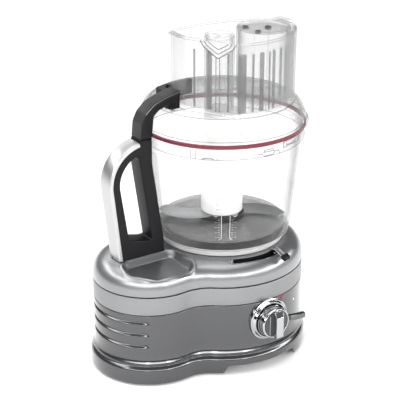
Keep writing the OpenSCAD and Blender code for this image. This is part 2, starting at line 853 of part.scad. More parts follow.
// The rib that joins the bowl's wall to the handle's bar
module rib_outline() {
    polygon([
        [bar_low_x, floor_z], [bar_high_x, bar_high_z], [bar_high_x, rim_z - 20],
        [-bowl_rim_r + 4, rim_z - 20], [-bowl_floor_r + 1, floor_z]
    ]);
}

// Points round the grip's upper bend at the given radius, from the straight grip to angle a1
function bend_points(r, a1) = [
    for (i = [0 : bend_steps]) let (a = 180 + lean_angle + (a1 - 180 - lean_angle) * i / bend_steps)
        [bend_x + r * cos(a), bend_z + r * sin(a)]
];

// Filled outline of the grip's outer side, drawn in by inset
module grip_outer(inset) {
    arc = bend_points(grip_bend_r - inset, bend_end_a);
    polygon(concat([[foot_x + inset, foot_z]], arc, [[arc[bend_steps][0], foot_z]]));
}

// Finger gap: round at the top of the grip, straight below, bounded by the bar
module finger_gap() {
    arc = bend_points(grip_bend_r - grip_t, gap_end_a);
    polygon(concat(
        [[foot_x + grip_t, gap_low_z + 8]], arc,
        [[bar_left_at(arc[bend_steps][1] - 5), arc[bend_steps][1] - 5], [bar_left_at(gap_low_z), gap_low_z]]
    ));
}

// Outline of the whole frame: foot, straight grip, bend, top pad, bar
module frame_outline() {
    polygon(concat(
        [[foot_x + cover_t, foot_z]], bend_points(grip_bend_r - cover_t, bend_end_a),
        [[arm_low_out, seam_z - 0.4], [arm_low_in, seam_z - 0.4], [bar_high_x, bar_high_z],
         [bar_low_x, floor_z], [bar_low_x + 1, foot_z]]
    ));
}

module handle_frame() {
    color([0.05, 0.05, 0.055]) place() difference() {
        upright(handle_w) frame_outline();
        upright(handle_w + 2) finger_gap();
        translate([pin_x, 0, seam_z - pin_len - spring_h]) cylinder(r = pin_r + 0.4, h = far);
        for (z = screw_heights) at_screw(z) {
            cylinder(r = screw_r, h = bar_t, center = true);
            translate([0, 0, screw_seat]) cylinder(r = screw_head_r + 0.3, h = bar_t);
        }
    }
}

// Places a handle screw's axis, its head towards the finger gap
module at_screw(z) {
    translate([bar_x_at(z), 0, z]) rotate([0, -90, 0]) children();
}

module handle_grip() {
    color([0.8, 0.8, 0.8]) place() upright(handle_w) difference() {
        grip_outer(0);
        grip_outer(cover_t);
    }
}

// Screws through the bar into the bowl's rib, reached through the finger gap
module handle_screws() {
    color([0.6, 0.6, 0.62]) place() for (z = screw_heights) at_screw(z) {
        translate([0, 0, screw_seat]) cylinder(r = screw_head_r, h = 2.5);
        translate([0, 0, -4]) cylinder(r = screw_r, h = screw_seat + 4 + eps);
    }
}

module interlock_pin() {
    color([0.85, 0.85, 0.85]) place() translate([pin_x, 0, seam_z - pin_len]) cylinder(r = pin_r, h = pin_len - 0.6);
}

module pin_spring() {
    color([0.6, 0.6, 0.62]) place() translate([pin_x, 0, seam_z - pin_len - spring_h + 0.3])
        bearing(pin_r - 0.2, pin_r - 1.2, spring_h - 0.5);
}

module blade_hub() {
    color([0.93, 0.93, 0.92]) place() difference() {
        translate([0, 0, hub_z]) cylinder(r = hub_r, h = hub_top - hub_z - 3);
        cylinder(r = hub_bore_r, h = post_top + 1.5);
        translate([0, 0, post_top]) cylinder(r = hex_r + 0.3, h = hex_h + 4, $fn = 6);
        translate([0, 0, post_top + hex_h + 8]) cylinder(r = hub_r - hub_wall, h = far);
    }
}

module hub_cap() {
    color([0.93, 0.93, 0.92]) place() {
        translate([0, 0, hub_top - 3]) cylinder(r = hub_r, h = 3);
        translate([0, 0, hub_top - 8]) cylinder(r = hub_r - hub_wall - 0.05, h = 5 + eps);
    }
}

module blade_collar() {
    color([0.05, 0.05, 0.05]) place() {
        translate([0, 0, collar_z]) bearing(collar_r, hub_bore_r, lower_collar_h);
        translate([0, 0, lower_blade_z + blade_t]) bearing(collar_r, hub_bore_r, upper_collar_h);
    }
}

// Plan outline of one crescent blade, its tip towards +X and -Y, with its clamping ring
module blade_outline() {
    difference() {
        union() {
            intersection() {
                difference() {
                    translate([0.31, -0.38] * blade_tip_r) circle(r = 0.545 * blade_tip_r);
                    translate([0.09, -0.77] * blade_tip_r) circle(r = 0.58 * blade_tip_r);
                }
                circle(r = blade_tip_r);
            }
            circle(r = hub_r - 3);
        }
        circle(r = hub_bore_r);
    }
}

module upper_blade() {
    color([0.78, 0.79, 0.8]) place() translate([0, 0, upper_blade_z]) rotate([0, 0, 180])
        linear_extrude(blade_t) blade_outline();
}

module lower_blade() {
    color([0.78, 0.79, 0.8]) place() translate([0, 0, lower_blade_z]) linear_extrude(blade_t) blade_outline();
}

// Plan outline of the feed tube, drawn in by inset
module tube_outline(inset) {
    intersection() {
        circle(r = tube_r - inset);
        translate([tube_back_x, tube_back_y]) circle(r = tube_back_r - inset);
        translate([tube_left_x + inset, -far]) square([tube_right_x - tube_left_x - 2 * inset, 2 * far]);
        translate([tube_left_x, tube_cut_y]) rotate(tube_cut_a) translate([inset, -far]) square([far, 2 * far]);
    }
}

module lid() {
    shelf = lid_shelf_z + flange_t;
    color([0.88, 0.9, 0.92, 0.35]) place() difference() {
        rotate_extrude() polygon([
            [skirt_in_r, rim_z - lid_skirt_h], [skirt_out_r, rim_z - lid_skirt_h],
            [skirt_out_r, flange_z], [skirt_out_r - 1, flange_z], [skirt_out_r - 1, lid_shelf_z],
            [flange_r, lid_shelf_z], [flange_r, shelf], [flange_r - 3, shelf + 2],
            [skirt_out_r - 6, lid_top - 6], [lid_plateau_r, lid_top], [0, lid_top],
            [0, lid_top - lid_wall], [lid_plateau_r - 2, lid_top - lid_wall],
            [skirt_out_r - 10, lid_top - 8], [skirt_in_r - 1, shelf - 1],
            [skirt_in_r - 3, flange_z + 0.6], [skirt_in_r, flange_z + 0.6]
        ]);
        translate([0, 0, lid_top - lid_wall - 1]) linear_extrude(far) tube_outline(tube_wall);
    }
}

module lid_seal() {
    color([0.5, 0.02, 0.08]) place() translate([0, 0, seal_z + 0.05]) difference() {
        cylinder(r = skirt_out_r + 1.5, h = seal_h - 0.1);
        translate([0, 0, -1]) cylinder(r = skirt_out_r - 0.95, h = seal_h + 2);
    }
}

module feed_tube() {
    color([0.88, 0.9, 0.92, 0.35]) place() difference() {
        translate([0, 0, lid_top]) linear_extrude(tube_h) tube_outline(0);
        translate([0, 0, lid_top - 1]) linear_extrude(tube_h + 2) tube_outline(tube_wall);
    }
}

// Side outline of the lid arm; raise moves its upper line up for the cover
module arm_side(raise) {
    arm_bend = 20;
    end_x = tube_left_x - 1.5;
    high = arm_top_z + raise;
    polygon([
        [arm_low_out, seam_z], [arm_low_out + 2, high - 32], [arm_low_out + 8, high - 20],
        [arm_low_out + arm_bend, high - 10], [arm_low_out + 36, high - 4], [end_x, high + 1],
        [end_x, lid_top + 0.2], [end_x - 16, lid_top + 0.2], [end_x - 17, high - arm_t - 2],
        [arm_low_in + 11, high - arm_t - 6], [arm_low_in + 3, high - arm_t - 13], [arm_low_in, seam_z]
    ]);
}

module lid_arm() {
    tail_low = lid_top + 0.2;
    color([0.06, 0.06, 0.065]) place() {
        difference() {
            upright(handle_w) arm_side(0);
            translate([pin_x, 0, seam_z - 1]) cylinder(r = pin_r + 0.6, h = 2);
            translate([0, 0, lid_shelf_z - 0.3]) cylinder(r = flange_r + 0.1, h = flange_t + 2.6);
        }
        translate([0, 0, tail_low]) linear_extrude(arm_top_z - tail_low) polygon([
            [tube_left_x - 14, handle_half - 2], [tube_left_x - 1.5, handle_half - 2],
            [tube_left_x - 1.5, handle_half + 8],
            [tube_left_x + 4, handle_half + 14], [-24, handle_half + 19], [-24, handle_half + 30],
            [tube_left_x - 14, handle_half + 16]
        ]);
    }
}

module arm_cover() {
    color([0.8, 0.82, 0.84]) place() upright(handle_w - 4) difference() {
        arm_side(1.6);
        arm_side(0);
        translate([-far, 0]) square([2 * far, arm_top_z - 20]);
    }
}

module arm_screws() {
    color([0.6, 0.6, 0.62]) place() for (s = [-1, 1])
        translate([tube_left_x - 9, s * 7, lid_top - lid_wall - 2]) cylinder(r = 2.5, h = 2);
}

// Large pusher: a cup that fills the feed tube, with two bores for the smaller pushers
module large_pusher() {
    inset = tube_wall + pusher_gap;
    top = tube_top + pusher_rim_t + 0.2;
    color([0.9, 0.92, 0.94, 0.35]) place() difference() {
        union() {
            difference() {
                translate([0, 0, pusher_floor_z]) linear_extrude(top - pusher_floor_z) tube_outline(inset);
                translate([0, 0, pusher_floor_z + pusher_wall]) linear_extrude(far) tube_outline(inset + pusher_wall);
            }
            difference() {
                translate([0, 0, tube_top + 0.2]) linear_extrude(pusher_rim_t) tube_outline(0);
                translate([0, 0, tube_top - 1]) linear_extrude(far) tube_outline(inset + pusher_wall);
            }
            bore_wall(medium_x, medium_y, medium_r, top);
            bore_wall(small_x, small_y, small_r, top);
        }
        translate([medium_x, medium_y, 0]) cylinder(r = medium_r, h = far * 2);
        translate([small_x, small_y, 0]) cylinder(r = small_r, h = far * 2);
    }
}

module bore_wall(x, y, r, top) {
    translate([x, y, pusher_floor_z]) cylinder(r = r + pusher_wall, h = top - pusher_floor_z);
}

// Round pusher with a closed floor and a resting rim at its top
module round_pusher(x, y, r, rim_t) {
    top = tube_top + pusher_rim_t + 0.4;
    translate([x, y, pusher_floor_z]) difference() {
        union() {
            cylinder(r = r - pusher_gap, h = top + rim_t - pusher_floor_z);
            translate([0, 0, top - pusher_floor_z]) cylinder(r = r + 1.6, h = rim_t);
        }
        translate([0, 0, pusher_wall]) cylinder(r = r - pusher_gap - pusher_wall, h = far);
    }
}

module medium_pusher() {
    color([0.9, 0.92, 0.94, 0.35]) place() round_pusher(medium_x, medium_y, medium_r, 2.2);
}

module small_pusher() {
    color([0.9, 0.92, 0.94, 0.35]) place() round_pusher(small_x, small_y, small_r, 3);
}

deck_housing();
trim_band();
body_housing();
bottom_plate();
rubber_feet();
base_screws();
knob_bezel();
indicator_lens();
slot_frame();
cord_gland();
rotary_switch();
circuit_board();
interlock_switch();
motor_stator();
motor_upper_bracket();
motor_lower_bracket();
motor_bearings();
rotor_core();
motor_shaft();
cooling_fan();
motor_pulley();
drive_belt();
spindle_housing();
spindle_bearings();
spindle_pulley();
spindle_shaft();
cam_ring();
slice_lever();
lever_tip();
slicing_lifter();
control_knob();
grip_bar();
pulse_paddle();
bowl();
handle_frame();
handle_grip();
handle_screws();
interlock_pin();
pin_spring();
blade_hub();
hub_cap();
blade_collar();
upper_blade();
lower_blade();
lid();
lid_seal();
feed_tube();
lid_arm();
arm_cover();
arm_screws();
large_pusher();
medium_pusher();
small_pusher();
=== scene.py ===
"""Looks of a countertop food processor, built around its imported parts."""

import math

import bmesh
import bpy
import numpy as np
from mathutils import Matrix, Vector, geometry


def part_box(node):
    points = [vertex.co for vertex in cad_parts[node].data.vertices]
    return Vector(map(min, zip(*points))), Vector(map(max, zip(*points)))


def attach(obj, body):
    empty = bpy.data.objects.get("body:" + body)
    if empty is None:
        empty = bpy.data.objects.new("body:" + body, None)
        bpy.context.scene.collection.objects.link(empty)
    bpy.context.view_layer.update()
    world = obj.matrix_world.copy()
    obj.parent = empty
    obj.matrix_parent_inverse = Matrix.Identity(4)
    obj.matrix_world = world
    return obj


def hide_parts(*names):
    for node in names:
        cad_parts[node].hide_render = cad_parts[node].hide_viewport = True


bl_info = {
    "name": "Food processor looks",
    "version": (1, 0, 0),
    "blender": (4, 5, 0),
    "location": "3D View > Sidebar > Processor",
    "description": "Builds the visible pieces of a food processor around its packed parts",
    "category": "Object",
}

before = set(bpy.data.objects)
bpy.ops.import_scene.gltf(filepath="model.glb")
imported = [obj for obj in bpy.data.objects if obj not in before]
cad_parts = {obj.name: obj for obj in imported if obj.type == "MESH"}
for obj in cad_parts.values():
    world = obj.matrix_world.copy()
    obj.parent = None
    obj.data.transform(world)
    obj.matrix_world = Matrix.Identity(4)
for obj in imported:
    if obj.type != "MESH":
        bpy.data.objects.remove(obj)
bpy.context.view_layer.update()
MM = 1000


def low(node):
    """A node's lowest corner at rest, in metres."""
    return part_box(node)[0]


def high(node):
    """A node's highest corner at rest, in metres."""
    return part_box(node)[1]


def middle(node):
    """The middle of a node's box at rest, in metres."""
    first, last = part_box(node)
    return (first + last) / 2


# Every piece is drawn in millimetres about the bowl's axis, with the table at height 0.
AXIS = middle("spindle_shaft")
MOTOR = middle("motor_shaft")
GAP = (AXIS.x - MOTOR.x) * MM
BODY_TOP = high("body_housing").z * MM
BAND_TOP = high("trim_band").z * MM
DECK_Z = low("deck_housing").z * MM
DECK_TOP = high("deck_housing").z * MM
WALL_R = (high("trim_band").x - AXIS.x) * MM
MOTOR_R = (MOTOR.x - low("trim_band").x) * MM
SKIRT_R = (high("body_housing").x - AXIS.x) * MM
RIM_Z = high("bowl").z * MM
BOWL_R = (high("bowl").x - AXIS.x) * MM
SEAL_R = (high("lid_seal").x - AXIS.x) * MM
LID_TOP = high("lid").z * MM
FLANGE_R = (high("lid").x - AXIS.x) * MM
TUBE_TOP = high("feed_tube").z * MM
KNOB_Z = middle("knob_bezel").z * MM
SHOULDER_R = 26.0
SHOULDER_Z = DECK_TOP - SHOULDER_R
WAIST_R = 50.0
BOWL_FLOOR_RISE = 22
FLOOR_Z = DECK_TOP + BOWL_FLOOR_RISE
WAIST_X = -((WALL_R + WAIST_R) ** 2 - (MOTOR_R + WAIST_R) ** 2 + GAP ** 2) / (2 * GAP)
WAIST_Y = math.sqrt((WALL_R + WAIST_R) ** 2 - WAIST_X ** 2)


# ---------------------------------------------------------------- sizes and colours

def length(name, description, millimetres):
    """A length, given in millimetres and kept in metres."""
    return bpy.props.FloatProperty(
        name=name, description=description, default=millimetres / MM, min=0, unit="LENGTH", precision=4)


def shade(name, description, colour):
    """A colour."""
    return bpy.props.FloatVectorProperty(
        name=name, description=description, default=colour, size=3, min=0, max=1, subtype="COLOR")


def share(name, description, value):
    """A share from 0 to 1."""
    return bpy.props.FloatProperty(
        name=name, description=description, default=value, min=0, max=1, subtype="FACTOR")


def strength(name, description, value, unit="NONE"):
    """The strength of a light."""
    return bpy.props.FloatProperty(name=name, description=description, default=value, min=0, unit=unit)


class BaseSizes(bpy.types.PropertyGroup):
    """Sizes of the base"""
    groove_depth: length("Groove depth", "Depth of the three grooves round the motor lobe", 2.6)
    groove_width: length("Groove width", "Width of one groove", 6.0)
    tray_depth: length("Tray depth", "Depth of the tray in the deck", 13)
    notch_height: length("Notch height", "Height of the cut-out in the skirt's front", 11)
    step: length("Outline step", "Distance between two points of the base's outline", 1.2)


class BowlSizes(bpy.types.PropertyGroup):
    """Sizes of the bowl and the blade hub"""
    wall: length("Bowl wall", "Thickness of the bowl's wall", 3)
    hub_radius: length("Hub radius", "Radius of the white blade hub", 28)
    scale_width: length("Scale line width", "Width of the printed scale lines", 0.7)


class LidSizes(bpy.types.PropertyGroup):
    """Sizes of the lid, the feed tube and the pushers"""
    wall: length("Lid wall", "Thickness of the lid and the feed tube", 2.5)
    flute_pitch: length("Flute pitch", "Distance between the flutes of the large pusher", 11)


class FinishColours(bpy.types.PropertyGroup):
    """Colours of the finishes"""
    deck: shade("Deck enamel", "Metallic enamel of the deck", (0.235, 0.239, 0.246))
    # The body's enamel is the deck's paint set far darker: painted shade for the body's upright walls.
    body: shade("Body enamel", "Metallic enamel of the body", (0.066, 0.067, 0.070))
    silver: shade("Brushed silver", "Trim band", (0.27, 0.272, 0.275))
    satin: shade("Satin silver", "Grip cover", (0.50, 0.50, 0.50))
    chrome: shade("Chrome", "Knob, lever and bezel", (0.46, 0.465, 0.47))
    black: shade("Black plastic", "Handle, arm and small parts", (0.007, 0.007, 0.008))
    seal: shade("Seal red", "Lid seal", (0.20, 0.004, 0.022))
    hub: shade("Hub white", "Blade hub and cap", (0.86, 0.86, 0.85))
    clear: shade("Clear plastic", "Tint of the clear plastic", (0.97, 0.98, 0.985))
    clear_edge: share("Edge density", "How dark the clear plastic looks at its edges", 0.9)


class StudioSettings(bpy.types.PropertyGroup):
    """Floor and lights of the stage"""
    floor: shade("Floor", "Colour of the floor", (0.95, 0.95, 0.95))
    sky: strength("Room light", "Strength of the even room light", 0.22)
    key: strength("Key light", "Strength of the broad overhead light", 2.5)
    softness: share("Softness", "Share of the sky that the overhead light fills", 0.38)
    strip: strength("Strip lights", "Power of each strip light in front", 9, "POWER")
    box: strength("Back box", "Power of the softbox behind", 5, "POWER")


# ---------------------------------------------------------------- shader nodes

class Value:
    """A number socket of a finish. Arithmetic on it adds Math nodes."""

    def __init__(self, finish, socket):
        self.finish, self.socket = finish, socket

    def _math(self, operation, first, second):
        node = self.finish.add("ShaderNodeMath", {"operation": operation}, {0: first, 1: second})
        return Value(self.finish, node.outputs[0])

    def __add__(self, other):
        return self._math("ADD", self, other)

    def __radd__(self, other):
        return self._math("ADD", other, self)

    def __mul__(self, other):
        return self._math("MULTIPLY", self, other)

    def __rmul__(self, other):
        return self._math("MULTIPLY", other, self)

    def __pow__(self, other):
        return self._math("POWER", self, other)

    def __rpow__(self, other):
        return self._math("POWER", other, self)

    def least(self, other):
        """The smaller of the two."""
        return self._math("MINIMUM", self, other)


class Finish:
    """A procedural material while its nodes are being laid."""

    def __init__(self, name):
        self.material = bpy.data.materials.new(name + "_finish")
        self.material.use_nodes = True
        self.tree = self.material.node_tree
        self.tree.nodes.clear()
        self.output = self.add("ShaderNodeOutputMaterial")
        self.place = self.add("ShaderNodeTexCoord").outputs["Object"]

    def add(self, kind, options=None, inputs=None):
        """A new node, its options set and its inputs given a number or a link."""
        node = self.tree.nodes.new(kind)
        for key, given in (options or {}).items():
            setattr(node, key, given)
        for key, given in (inputs or {}).items():
            socket = node.inputs[key]
            if isinstance(given, Value):
                given = given.socket
            if isinstance(given, bpy.types.NodeSocket):
                self.tree.links.new(given, socket)
            else:
                socket.default_value = given
        return node

    def noise(self, size, detail=2.0, stretch=(1, 1, 1)):
        """Noise whose grains are about size metres across, stretched along the axes."""
        scaled = self.add("ShaderNodeMapping", None, {"Vector": self.place, "Scale": stretch})
        node = self.add("ShaderNodeTexNoise", None, {
            "Vector": scaled.outputs[0], "Scale": 1 / size, "Detail": detail, "Roughness": 0.5})
        return Value(self, node.outputs["Fac"])

    def mix(self, factor, first, second):
        """A colour between the two."""
        node = self.add("ShaderNodeMix", {"data_type": "RGBA"}, {0: factor, 6: first, 7: second})
        return node.outputs[2]

    def bump(self, height, strength, distance):
        """A normal raised by height, by up to distance metres."""
        node = self.add("ShaderNodeBump", None, {"Height": height, "Strength": strength, "Distance": distance})
        return node.outputs[0]

    def facing(self):
        """0 where the surface faces the viewer, 1 where it is seen along."""
        return Value(self, self.add("ShaderNodeLayerWeight", None, {"Blend": 0.5}).outputs["Facing"])

    def principled(self, inputs):
        """Ends the material with a Principled shader and gives the material."""
        shader = self.add("ShaderNodeBsdfPrincipled", None, inputs)
        self.tree.links.new(shader.outputs[0], self.output.inputs[0])
        return self.material


def rgba(colour, factor=1.0):
    """The colour times factor, opaque."""
    return (colour[0] * factor, colour[1] * factor, colour[2] * factor, 1.0)


def enamel(name, colour, roughness, coat_roughness):
    """Metallic enamel: fine flakes under a clear coat."""
    f = Finish(name)
    flakes = f.noise(0.0009, 1.0)
    drift = f.noise(0.06, 2.0)
    tone = f.mix(flakes * 0.5 + drift * 0.5, rgba(colour, 0.93), rgba(colour, 1.07))
    return f.principled({
        "Base Color": tone, "Metallic": 0.85, "Roughness": flakes * 0.04 + roughness,
        "Coat Weight": 0.9, "Coat Roughness": coat_roughness, "Coat IOR": 1.55,
        "Normal": f.bump(drift, 0.01, 0.0002)})


def brushed(name, colour, roughness, stretch, grain=0.0006):
    """Brushed metal, its fine lines along the axis that stretch leaves long."""
    f = Finish(name)
    lines = f.noise(grain, 2.0, stretch)
    drift = f.noise(0.03, 2.0)
    tone = f.mix(lines * 0.7 + drift * 0.3, rgba(colour, 0.86), rgba(colour, 1.1))
    return f.principled({
        "Base Color": tone, "Metallic": 1.0, "Roughness": lines * 0.14 + (roughness - 0.07),
        "Normal": f.bump(lines, 0.10, 0.0002)})


def polished(name, colour, roughness=0.05):
    """Chrome plate with faint smudges."""
    f = Finish(name)
    smudge = f.noise(0.012, 3.0)
    return f.principled({
        "Base Color": f.mix(smudge, rgba(colour, 0.95), rgba(colour, 1.0)), "Metallic": 1.0,
        "Roughness": smudge * 0.05 + roughness})


def moulded(name, colour, roughness, grain_depth=0.12, coat=0.0, shine=0.35):
    """Moulded plastic with a fine grain."""
    f = Finish(name)
    grain = f.noise(0.0007, 2.0)
    wear = f.noise(0.02, 3.0)
    tone = f.mix(wear, rgba(colour, 0.9), rgba(colour, 1.12))
    return f.principled({
        "Base Color": tone, "Roughness": wear * 0.10 + grain * 0.06 + (roughness - 0.08),
        "Specular IOR Level": shine, "Coat Weight": coat, "Coat Roughness": 0.1,
        "Normal": f.bump(grain, grain_depth, 0.0002)})


def ground_metal(name, colour, roughness, stretch=(1, 1, 12)):
    """Ground metal, its lines across the axis that stretch squeezes most."""
    f = Finish(name)
    lines = f.noise(0.0012, 2.0, stretch)
    return f.principled({
        "Base Color": f.mix(lines, rgba(colour, 0.8), rgba(colour, 1.1)), "Metallic": 1.0,
        "Roughness": lines * 0.15 + roughness, "Normal": f.bump(lines, 0.08, 0.0002)})


def clear_moulding(name, colour, edge, density=0.02, face=0.40, rim=0.05):
    """Clear plastic: see-through face on, denser and darker where seen along the wall; the darkening of its colour
    there is painted shade for the dark edges that refraction gives.
    """
    f = Finish(name)
    ripple = f.noise(0.02, 1.0)
    grazing = f.facing()
    alpha = (grazing ** 3.6 * edge + density).least(1.0)
    return f.principled({
        # Colour runs from the face-on tint down to rim where the wall is seen along: painted shade at the edges.
        "Base Color": f.mix(grazing ** 3.0, rgba(colour, face), rgba(colour, rim)), "Alpha": alpha,
        "Roughness": ripple * 0.03 + 0.03, "IOR": 1.35, "Specular IOR Level": 0.4,
        "Normal": f.bump(ripple, 0.05, 0.0006)})


FINISHES = {}


def finish(name):
    """The laid material of that name."""
    return FINISHES[name]


def make_finishes():
    """Lays every procedural material."""
    c = bpy.context.scene.processor_colours
    FINISHES.update({
        "cast_grey": enamel("cast_grey", c.deck, 0.31, 0.24),
        # Body enamel darker than the deck's: painted shade for the upright walls.
        "body_grey": enamel("body_grey", c.body, 0.20, 0.07),
        "brushed_band": brushed("brushed_band", c.silver, 0.34, (1, 1, 40)),
        "satin_silver": brushed("satin_silver", c.satin, 0.34, (3, 3, 0.4), 0.0009),
        "chrome_trim": polished("chrome_trim", c.chrome),
        # Chrome set far darker than chrome_trim, for the slot frame and the pulse paddle: painted dark reflection.
        "painted_reflection_chrome": polished("painted_reflection_chrome", (0.16, 0.162, 0.165)),
        # Dark brushed metal for the knob's face: painted dark reflection.
        "dark_metal": brushed("dark_metal", (0.10, 0.10, 0.105), 0.34, (8, 1, 1), 0.0012),
        "black_plastic": moulded("black_plastic", c.black, 0.40, shine=0.16),
        "arm_panel": moulded("arm_panel", (0.022, 0.022, 0.023), 0.45, 0.16, shine=0.25),
        "clear_plastic": clear_moulding("clear_plastic", c.clear, c.clear_edge, 0.035),
        # Pale dense copy of the clear plastic for the bowl's foot and the spout plate: painted light caught in the
        # thick clear moulding.
        "painted_light_plastic": clear_moulding("painted_light_plastic", (1.0, 1.0, 1.0), 0.5, 0.40, 0.85, 0.35),
        # Grey clear plastic for the dark lines along the lid's edges, latch mouldings, spout and pusher ribs:
        # painted shade.
        "painted_shade_plastic": clear_moulding("painted_shade_plastic", (0.22, 0.22, 0.22), 0.5, 0.45),
        # Grey sheet for the bowl's clear floor: painted shade.
        "painted_shade_sheet": clear_moulding("painted_shade_sheet", (1.0, 1.0, 1.0), 0.2, 0.45, 0.24, 0.16),
        "white_plastic": moulded("white_plastic", c.hub, 0.3, 0.05, 0.3),
        "red_seal": moulded("red_seal", c.seal, 0.35, 0.05, shine=0.3),
        "red_lens": moulded("red_lens", (0.34, 0.012, 0.04), 0.25, 0.02, 0.3),
        "foot_rubber": moulded("foot_rubber", (0.02, 0.02, 0.02), 0.8, 0.3),
        "blade_steel": ground_metal("blade_steel", (0.30, 0.305, 0.31), 0.22, (1, 10, 1)),
        "shaft_steel": ground_metal("shaft_steel", (0.60, 0.60, 0.61), 0.22),
        "bracket_alloy": ground_metal("bracket_alloy", (0.50, 0.51, 0.52), 0.38, (1, 1, 1)),
        "lamination": ground_metal("lamination", (0.16, 0.16, 0.17), 0.45, (0.2, 0.2, 3)),
        "rotor_copper": ground_metal("rotor_copper", (0.42, 0.22, 0.12), 0.35),
        "bearing_steel": polished("bearing_steel", (0.66, 0.66, 0.68), 0.12),
        "board_green": moulded("board_green", (0.02, 0.14, 0.05), 0.4),
        "belt_rubber": moulded("belt_rubber", (0.015, 0.015, 0.015), 0.7, 0.4),
        "acetal": moulded("acetal", (0.72, 0.72, 0.68), 0.4),
        "print_white": moulded("print_white", (0.62, 0.62, 0.62), 0.5, 0.02),
        # Grey for the printed fill marks, and as painted shade lining the medium pusher's holes.
        "grey_print_and_shade": moulded("grey_print_and_shade", (0.10, 0.10, 0.10), 0.5, 0.02),
    })


# ---------------------------------------------------------------- outlines

def rounded(corners, radius, steps=5, closed=True):
    """The outline with its corners rounded. radius is one number, or one for each corner."""
    count = len(corners)
    points = []
    for i, corner in enumerate(corners):
        r = radius[i] if isinstance(radius, (list, tuple)) else radius
        if r <= 0 or (not closed and i in (0, count - 1)):
            points.append(tuple(corner))
            continue
        here = np.array(corner, float)
        before = np.array(corners[i - 1], float) - here
        after = np.array(corners[(i + 1) % count], float) - here
        la, lb = np.linalg.norm(before), np.linalg.norm(after)
        before, after = before / la, after / lb
        half = math.acos(max(-1, min(1, float(before @ after)))) / 2
        if half > math.pi / 2 - 0.02 or half < 0.02:
            points.append(tuple(corner))
            continue
        reach = min(r / math.tan(half), 0.48 * la, 0.48 * lb)
        start, end = here + before * reach, here + after * reach
        for k in range(steps + 1):
            t = k / steps
            points.append(tuple(start * (1 - t) ** 2 + here * 2 * t * (1 - t) + end * t ** 2))
    return points


def turned(outline):
    """The outline anticlockwise."""
    p = np.array(outline, float)
    area = np.sum(p[:, 0] * np.roll(p[:, 1], -1) - np.roll(p[:, 0], -1) * p[:, 1])
    return p if area > 0 else p[::-1]


def drawn_in(outline, distance):
    """The anticlockwise outline moved inwards by distance."""
    p = np.array(outline, float)
    ahead = np.roll(p, -1, 0) - p
    ahead /= np.maximum(np.linalg.norm(ahead, axis=1, keepdims=True), 1e-9)
    behind = np.roll(ahead, 1, 0)
    inward = np.stack([-(ahead + behind)[:, 1], (ahead + behind)[:, 0]], 1)
    size = np.maximum(np.linalg.norm(inward, axis=1, keepdims=True), 1e-9)
    inward /= size
    cosine = np.clip(np.sum(inward * np.stack([-ahead[:, 1], ahead[:, 0]], 1), 1, keepdims=True), 0.5, 1)
    return p + inward * distance / cosine


def arc(centre, radius, first, last, steps):
    """Points of an arc, from angle first to angle last in degrees."""
    angles = np.radians(np.linspace(first, last, steps + 1))
    return np.stack([centre[0] + radius * np.cos(angles), centre[1] + radius * np.sin(angles)], 1)


def circle(centre, radius, count):
    """Points of a whole circle."""
    return arc(centre, radius, 0, 360, count)[:-1]


def moved(pairs, x, y):
    """The pairs moved by (x, y)."""
    return [(x + a, y + b) for a, b in pairs]


def even(outline, step, closed=True):
    """The outline with points added so that none are further apart than step."""
    p = np.array(outline, float)
    points = []
    count = len(p)
    for i in range(count if closed else count - 1):
        a, b = p[i], p[(i + 1) % count]
        pieces = max(1, int(np.linalg.norm(b - a) / step + 0.999))
        points.extend(a + (b - a) * k / pieces for k in range(pieces))
    if not closed:
        points.append(p[-1])
    return np.array(points)


def base_outline(step):
    """Points and outward normals round the two-lobed outline, starting at the front waist."""
    meet = math.degrees(math.atan2(WAIST_Y, WAIST_X))
    far_meet = math.degrees(math.atan2(WAIST_Y, WAIST_X + GAP))
    runs = [
        ((0, 0), WALL_R, -meet, meet, 1),
        ((WAIST_X, WAIST_Y), WAIST_R, meet - 180, far_meet - 180, -1),
        ((-GAP, 0), MOTOR_R, far_meet, 360 - far_meet, 1),
        ((WAIST_X, -WAIST_Y), WAIST_R, 180 - far_meet, 180 - meet, -1),
    ]
    points, normals = [], []
    for centre, radius, first, last, side in runs:
        steps = max(8, int(abs(math.radians(last - first)) * radius / step))
        p = arc(centre, radius, first, last, steps)[:-1]
        points.append(p)
        normals.append((p - np.array(centre)) / radius * side)
    return np.concatenate(points), np.concatenate(normals)


# ---------------------------------------------------------------- shapes

